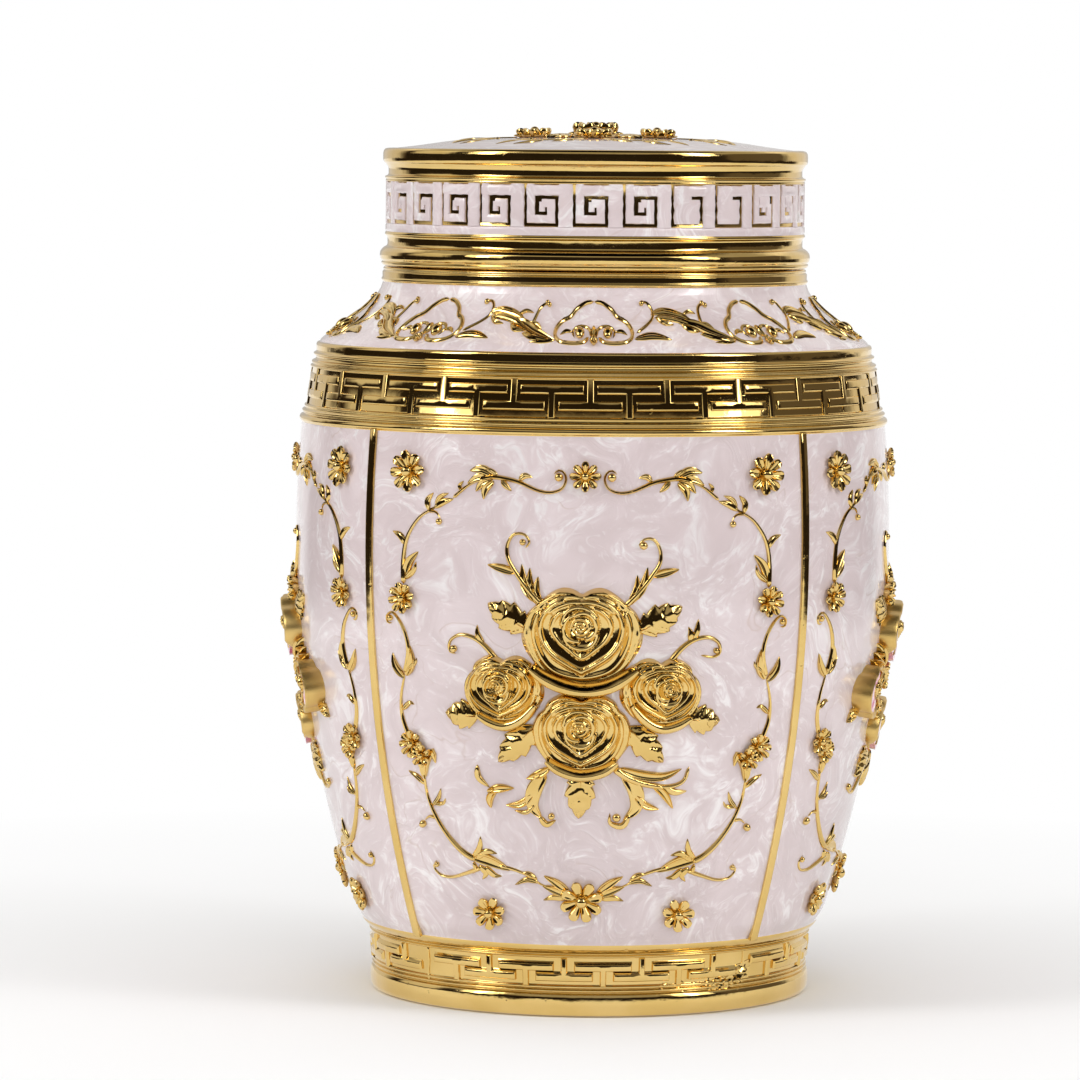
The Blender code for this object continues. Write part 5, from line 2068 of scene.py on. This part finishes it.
@dataclass(frozen=True)
class Studio:
    """The pale floor, the lights and the camera.

    Attributes:
        distance: from the urn's axis to the camera, in metres.
        height: the camera's height above the foot, in metres.
        aim: the height on the axis that the camera points at, in metres.
        turn: how far the camera stands round towards +X.
        roll: how far it leans.
        axis_pixel: where the axis comes across the 1080 pixels of the photograph.
        lens: focal length on a 36 mm sensor.
        boxes: the lights.
    """

    distance: float = 1.70
    height: float = 0.251
    aim: float = 0.1317
    turn: float = math.radians(1.4)
    roll: float = 0.0082
    axis_pixel: float = 592.5
    lens: float = 193.3
    boxes: tuple[Softbox, ...] = (
        Softbox("left_softbox", (-1.13, -0.65, 0.9), (0.2, 0.84), 3.2),
        Softbox("right_softbox", (1.13, -0.65, 0.9), (0.2, 0.84), 3.2),
        Softbox("left_diffuser", (-1.22, -0.70, 0.95), (0.6, 0.9), 3.2),
        Softbox("right_diffuser", (1.22, -0.70, 0.95), (0.6, 0.9), 3.2),
        Softbox("front_fill", (0.1, -2.3, 1.1), (1.6, 1.2), 17.0, False),
        Softbox("top_fill", (0.0, 0.0, 1.9), (1.8, 1.8), 14.0, False),
        Softbox("left_fill", (-1.8, -0.6, 0.8), (1.0, 1.2), 10.0, False),
        Softbox("right_fill", (1.8, -0.6, 0.8), (1.0, 1.2), 8.0, False),
    )

    def camera(self) -> None:
        """Sets up the camera as the photograph was taken."""
        data = bpy.data.cameras.new("camera")
        data.lens = self.lens
        data.sensor_width = 36.0
        data.shift_x = (540 - self.axis_pixel) / 1080
        camera = bpy.data.objects.new("camera", data)
        bpy.context.scene.collection.objects.link(camera)
        away = self.distance
        spot = Vector((away * math.sin(self.turn), -away * math.cos(self.turn), self.height))
        camera.location = spot
        gaze = (Vector((0, 0, self.aim)) - spot).to_track_quat("-Z", "Y")
        camera.rotation_euler = gaze.to_euler()
        camera.rotation_euler.rotate_axis("Z", self.roll)
        bpy.context.scene.camera = camera

    def floor(self) -> None:
        """The pale floor, with painted light: it glows white far off, from close to the urn outwards to the
        eye, and partly in every reflection of it, and it glows near-black past the urn's foot where metal
        reflects it, a painted dark room.
        """
        deselect()
        bpy.ops.mesh.primitive_plane_add(size=14, location=(0, 0, -0.0002))
        floor = bpy.context.object
        floor.name = "floor"
        surface = Surface("pale_floor")
        place = surface.place()
        distance = surface.vector_math("LENGTH", {0: place}).out("Value")
        parts = surface.node("ShaderNodeSeparateXYZ", None, {0: place})
        back = parts.out("Y")
        spread = (parts * parts * 1.1 + back * back * 0.36) ** 0.5
        ray = surface.node("ShaderNodeLightPath")
        glossy = ray.out("Is Glossy Ray")
        # Painted dark room: where metal reflects the floor far off in front and at the sides, it glows
        # near-black.
        painted_dark_share = glossy * spread.steep(0.7, 0.95) * (1.0 - back.math("DIVIDE", distance).steep(0.7, 0.86))
        glow = surface.glow("Emission", WHITE)
        dark = surface.glow("Emission", WARM_DARK, 0.022)
        surface.set(Base_Color=(0.88, 0.88, 0.88, 1.0), Roughness=0.9, Specular_IOR_Level=0.1)
        cloth = Shade(surface, surface.shader.outputs[0])
        near = ray.out("Is Camera Ray") * 0.75 * distance.steep(0.04, 0.35)
        # Painted light: the floor glows white far off for every ray, from close to the urn outwards to the
        # eye, and partly everywhere in reflections.
        far = distance.steep(0.25, 0.9) + near + glossy * 0.32
        white = surface.mix_shader(far.clamped(), cloth, glow)
        mix = surface.mix_shader(painted_dark_share, white, dark)
        surface.feed(surface.tree.nodes["Material Output"].inputs["Surface"], mix)
        floor.data.materials.append(surface.material)

    def sky(self) -> None:
        """White to the eye; to the metal, a dark room with pale walls on the left and behind."""
        world = bpy.data.worlds.new("room")
        world.use_nodes = True
        bpy.context.scene.world = world
        nodes = Nodes(world.node_tree)
        gaze = nodes.node("ShaderNodeTexCoord").out("Generated")
        parts = nodes.node("ShaderNodeSeparateXYZ", None, {0: gaze})
        side = parts.math("ARCTAN2", parts.out("Y") * -1.0) * (1 / math.pi)
        away = side.math("ABSOLUTE")
        behind = away.steep(0.68, 0.76) * (1.0 - away.steep(0.88, 0.94) * 0.25)
        leftwards = side * -1.0
        upwards = parts.out("Z")
        left = leftwards.steep(0.46, 0.5) * (1.0 - leftwards.steep(0.62, 0.68)) * upwards.steep(0.06, 0.2)
        right = side.steep(0.4, 0.46) * 0.1
        up = upwards.steep(0.45, 0.7)
        overhead = upwards.steep(0.38, 0.55) * (1.0 - upwards.steep(0.74, 0.88))
        light = (0.02 + right + behind * 0.7 + left * 0.7) * (1.0 - up * 0.93) + overhead * 0.4
        tint = nodes.blend((light * 4.0).clamped(), WARM_DARK, (1.0, 0.97, 0.94, 1.0))
        room = nodes.glow("Background", tint, light)
        white = nodes.glow("Background", WHITE)
        seen = nodes.node("ShaderNodeLightPath").out("Is Camera Ray")
        mix = nodes.mix_shader(seen, room, white)
        nodes.feed(world.node_tree.nodes["World Output"].inputs["Surface"], mix)

    def build(self) -> None:
        """Sets up the whole studio."""
        self.floor()
        self.sky()
        for box in self.boxes:
            box.build(Vector((0, 0, self.aim)))
        self.camera()
        bpy.context.scene.view_settings.view_transform = "Standard"


def main() -> None:
    """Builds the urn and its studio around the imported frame."""
    logging.basicConfig(level=logging.INFO, format="%(name)s: %(message)s")
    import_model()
    Urn().build()
    Studio().build()


if __name__ == "__main__":
    main()
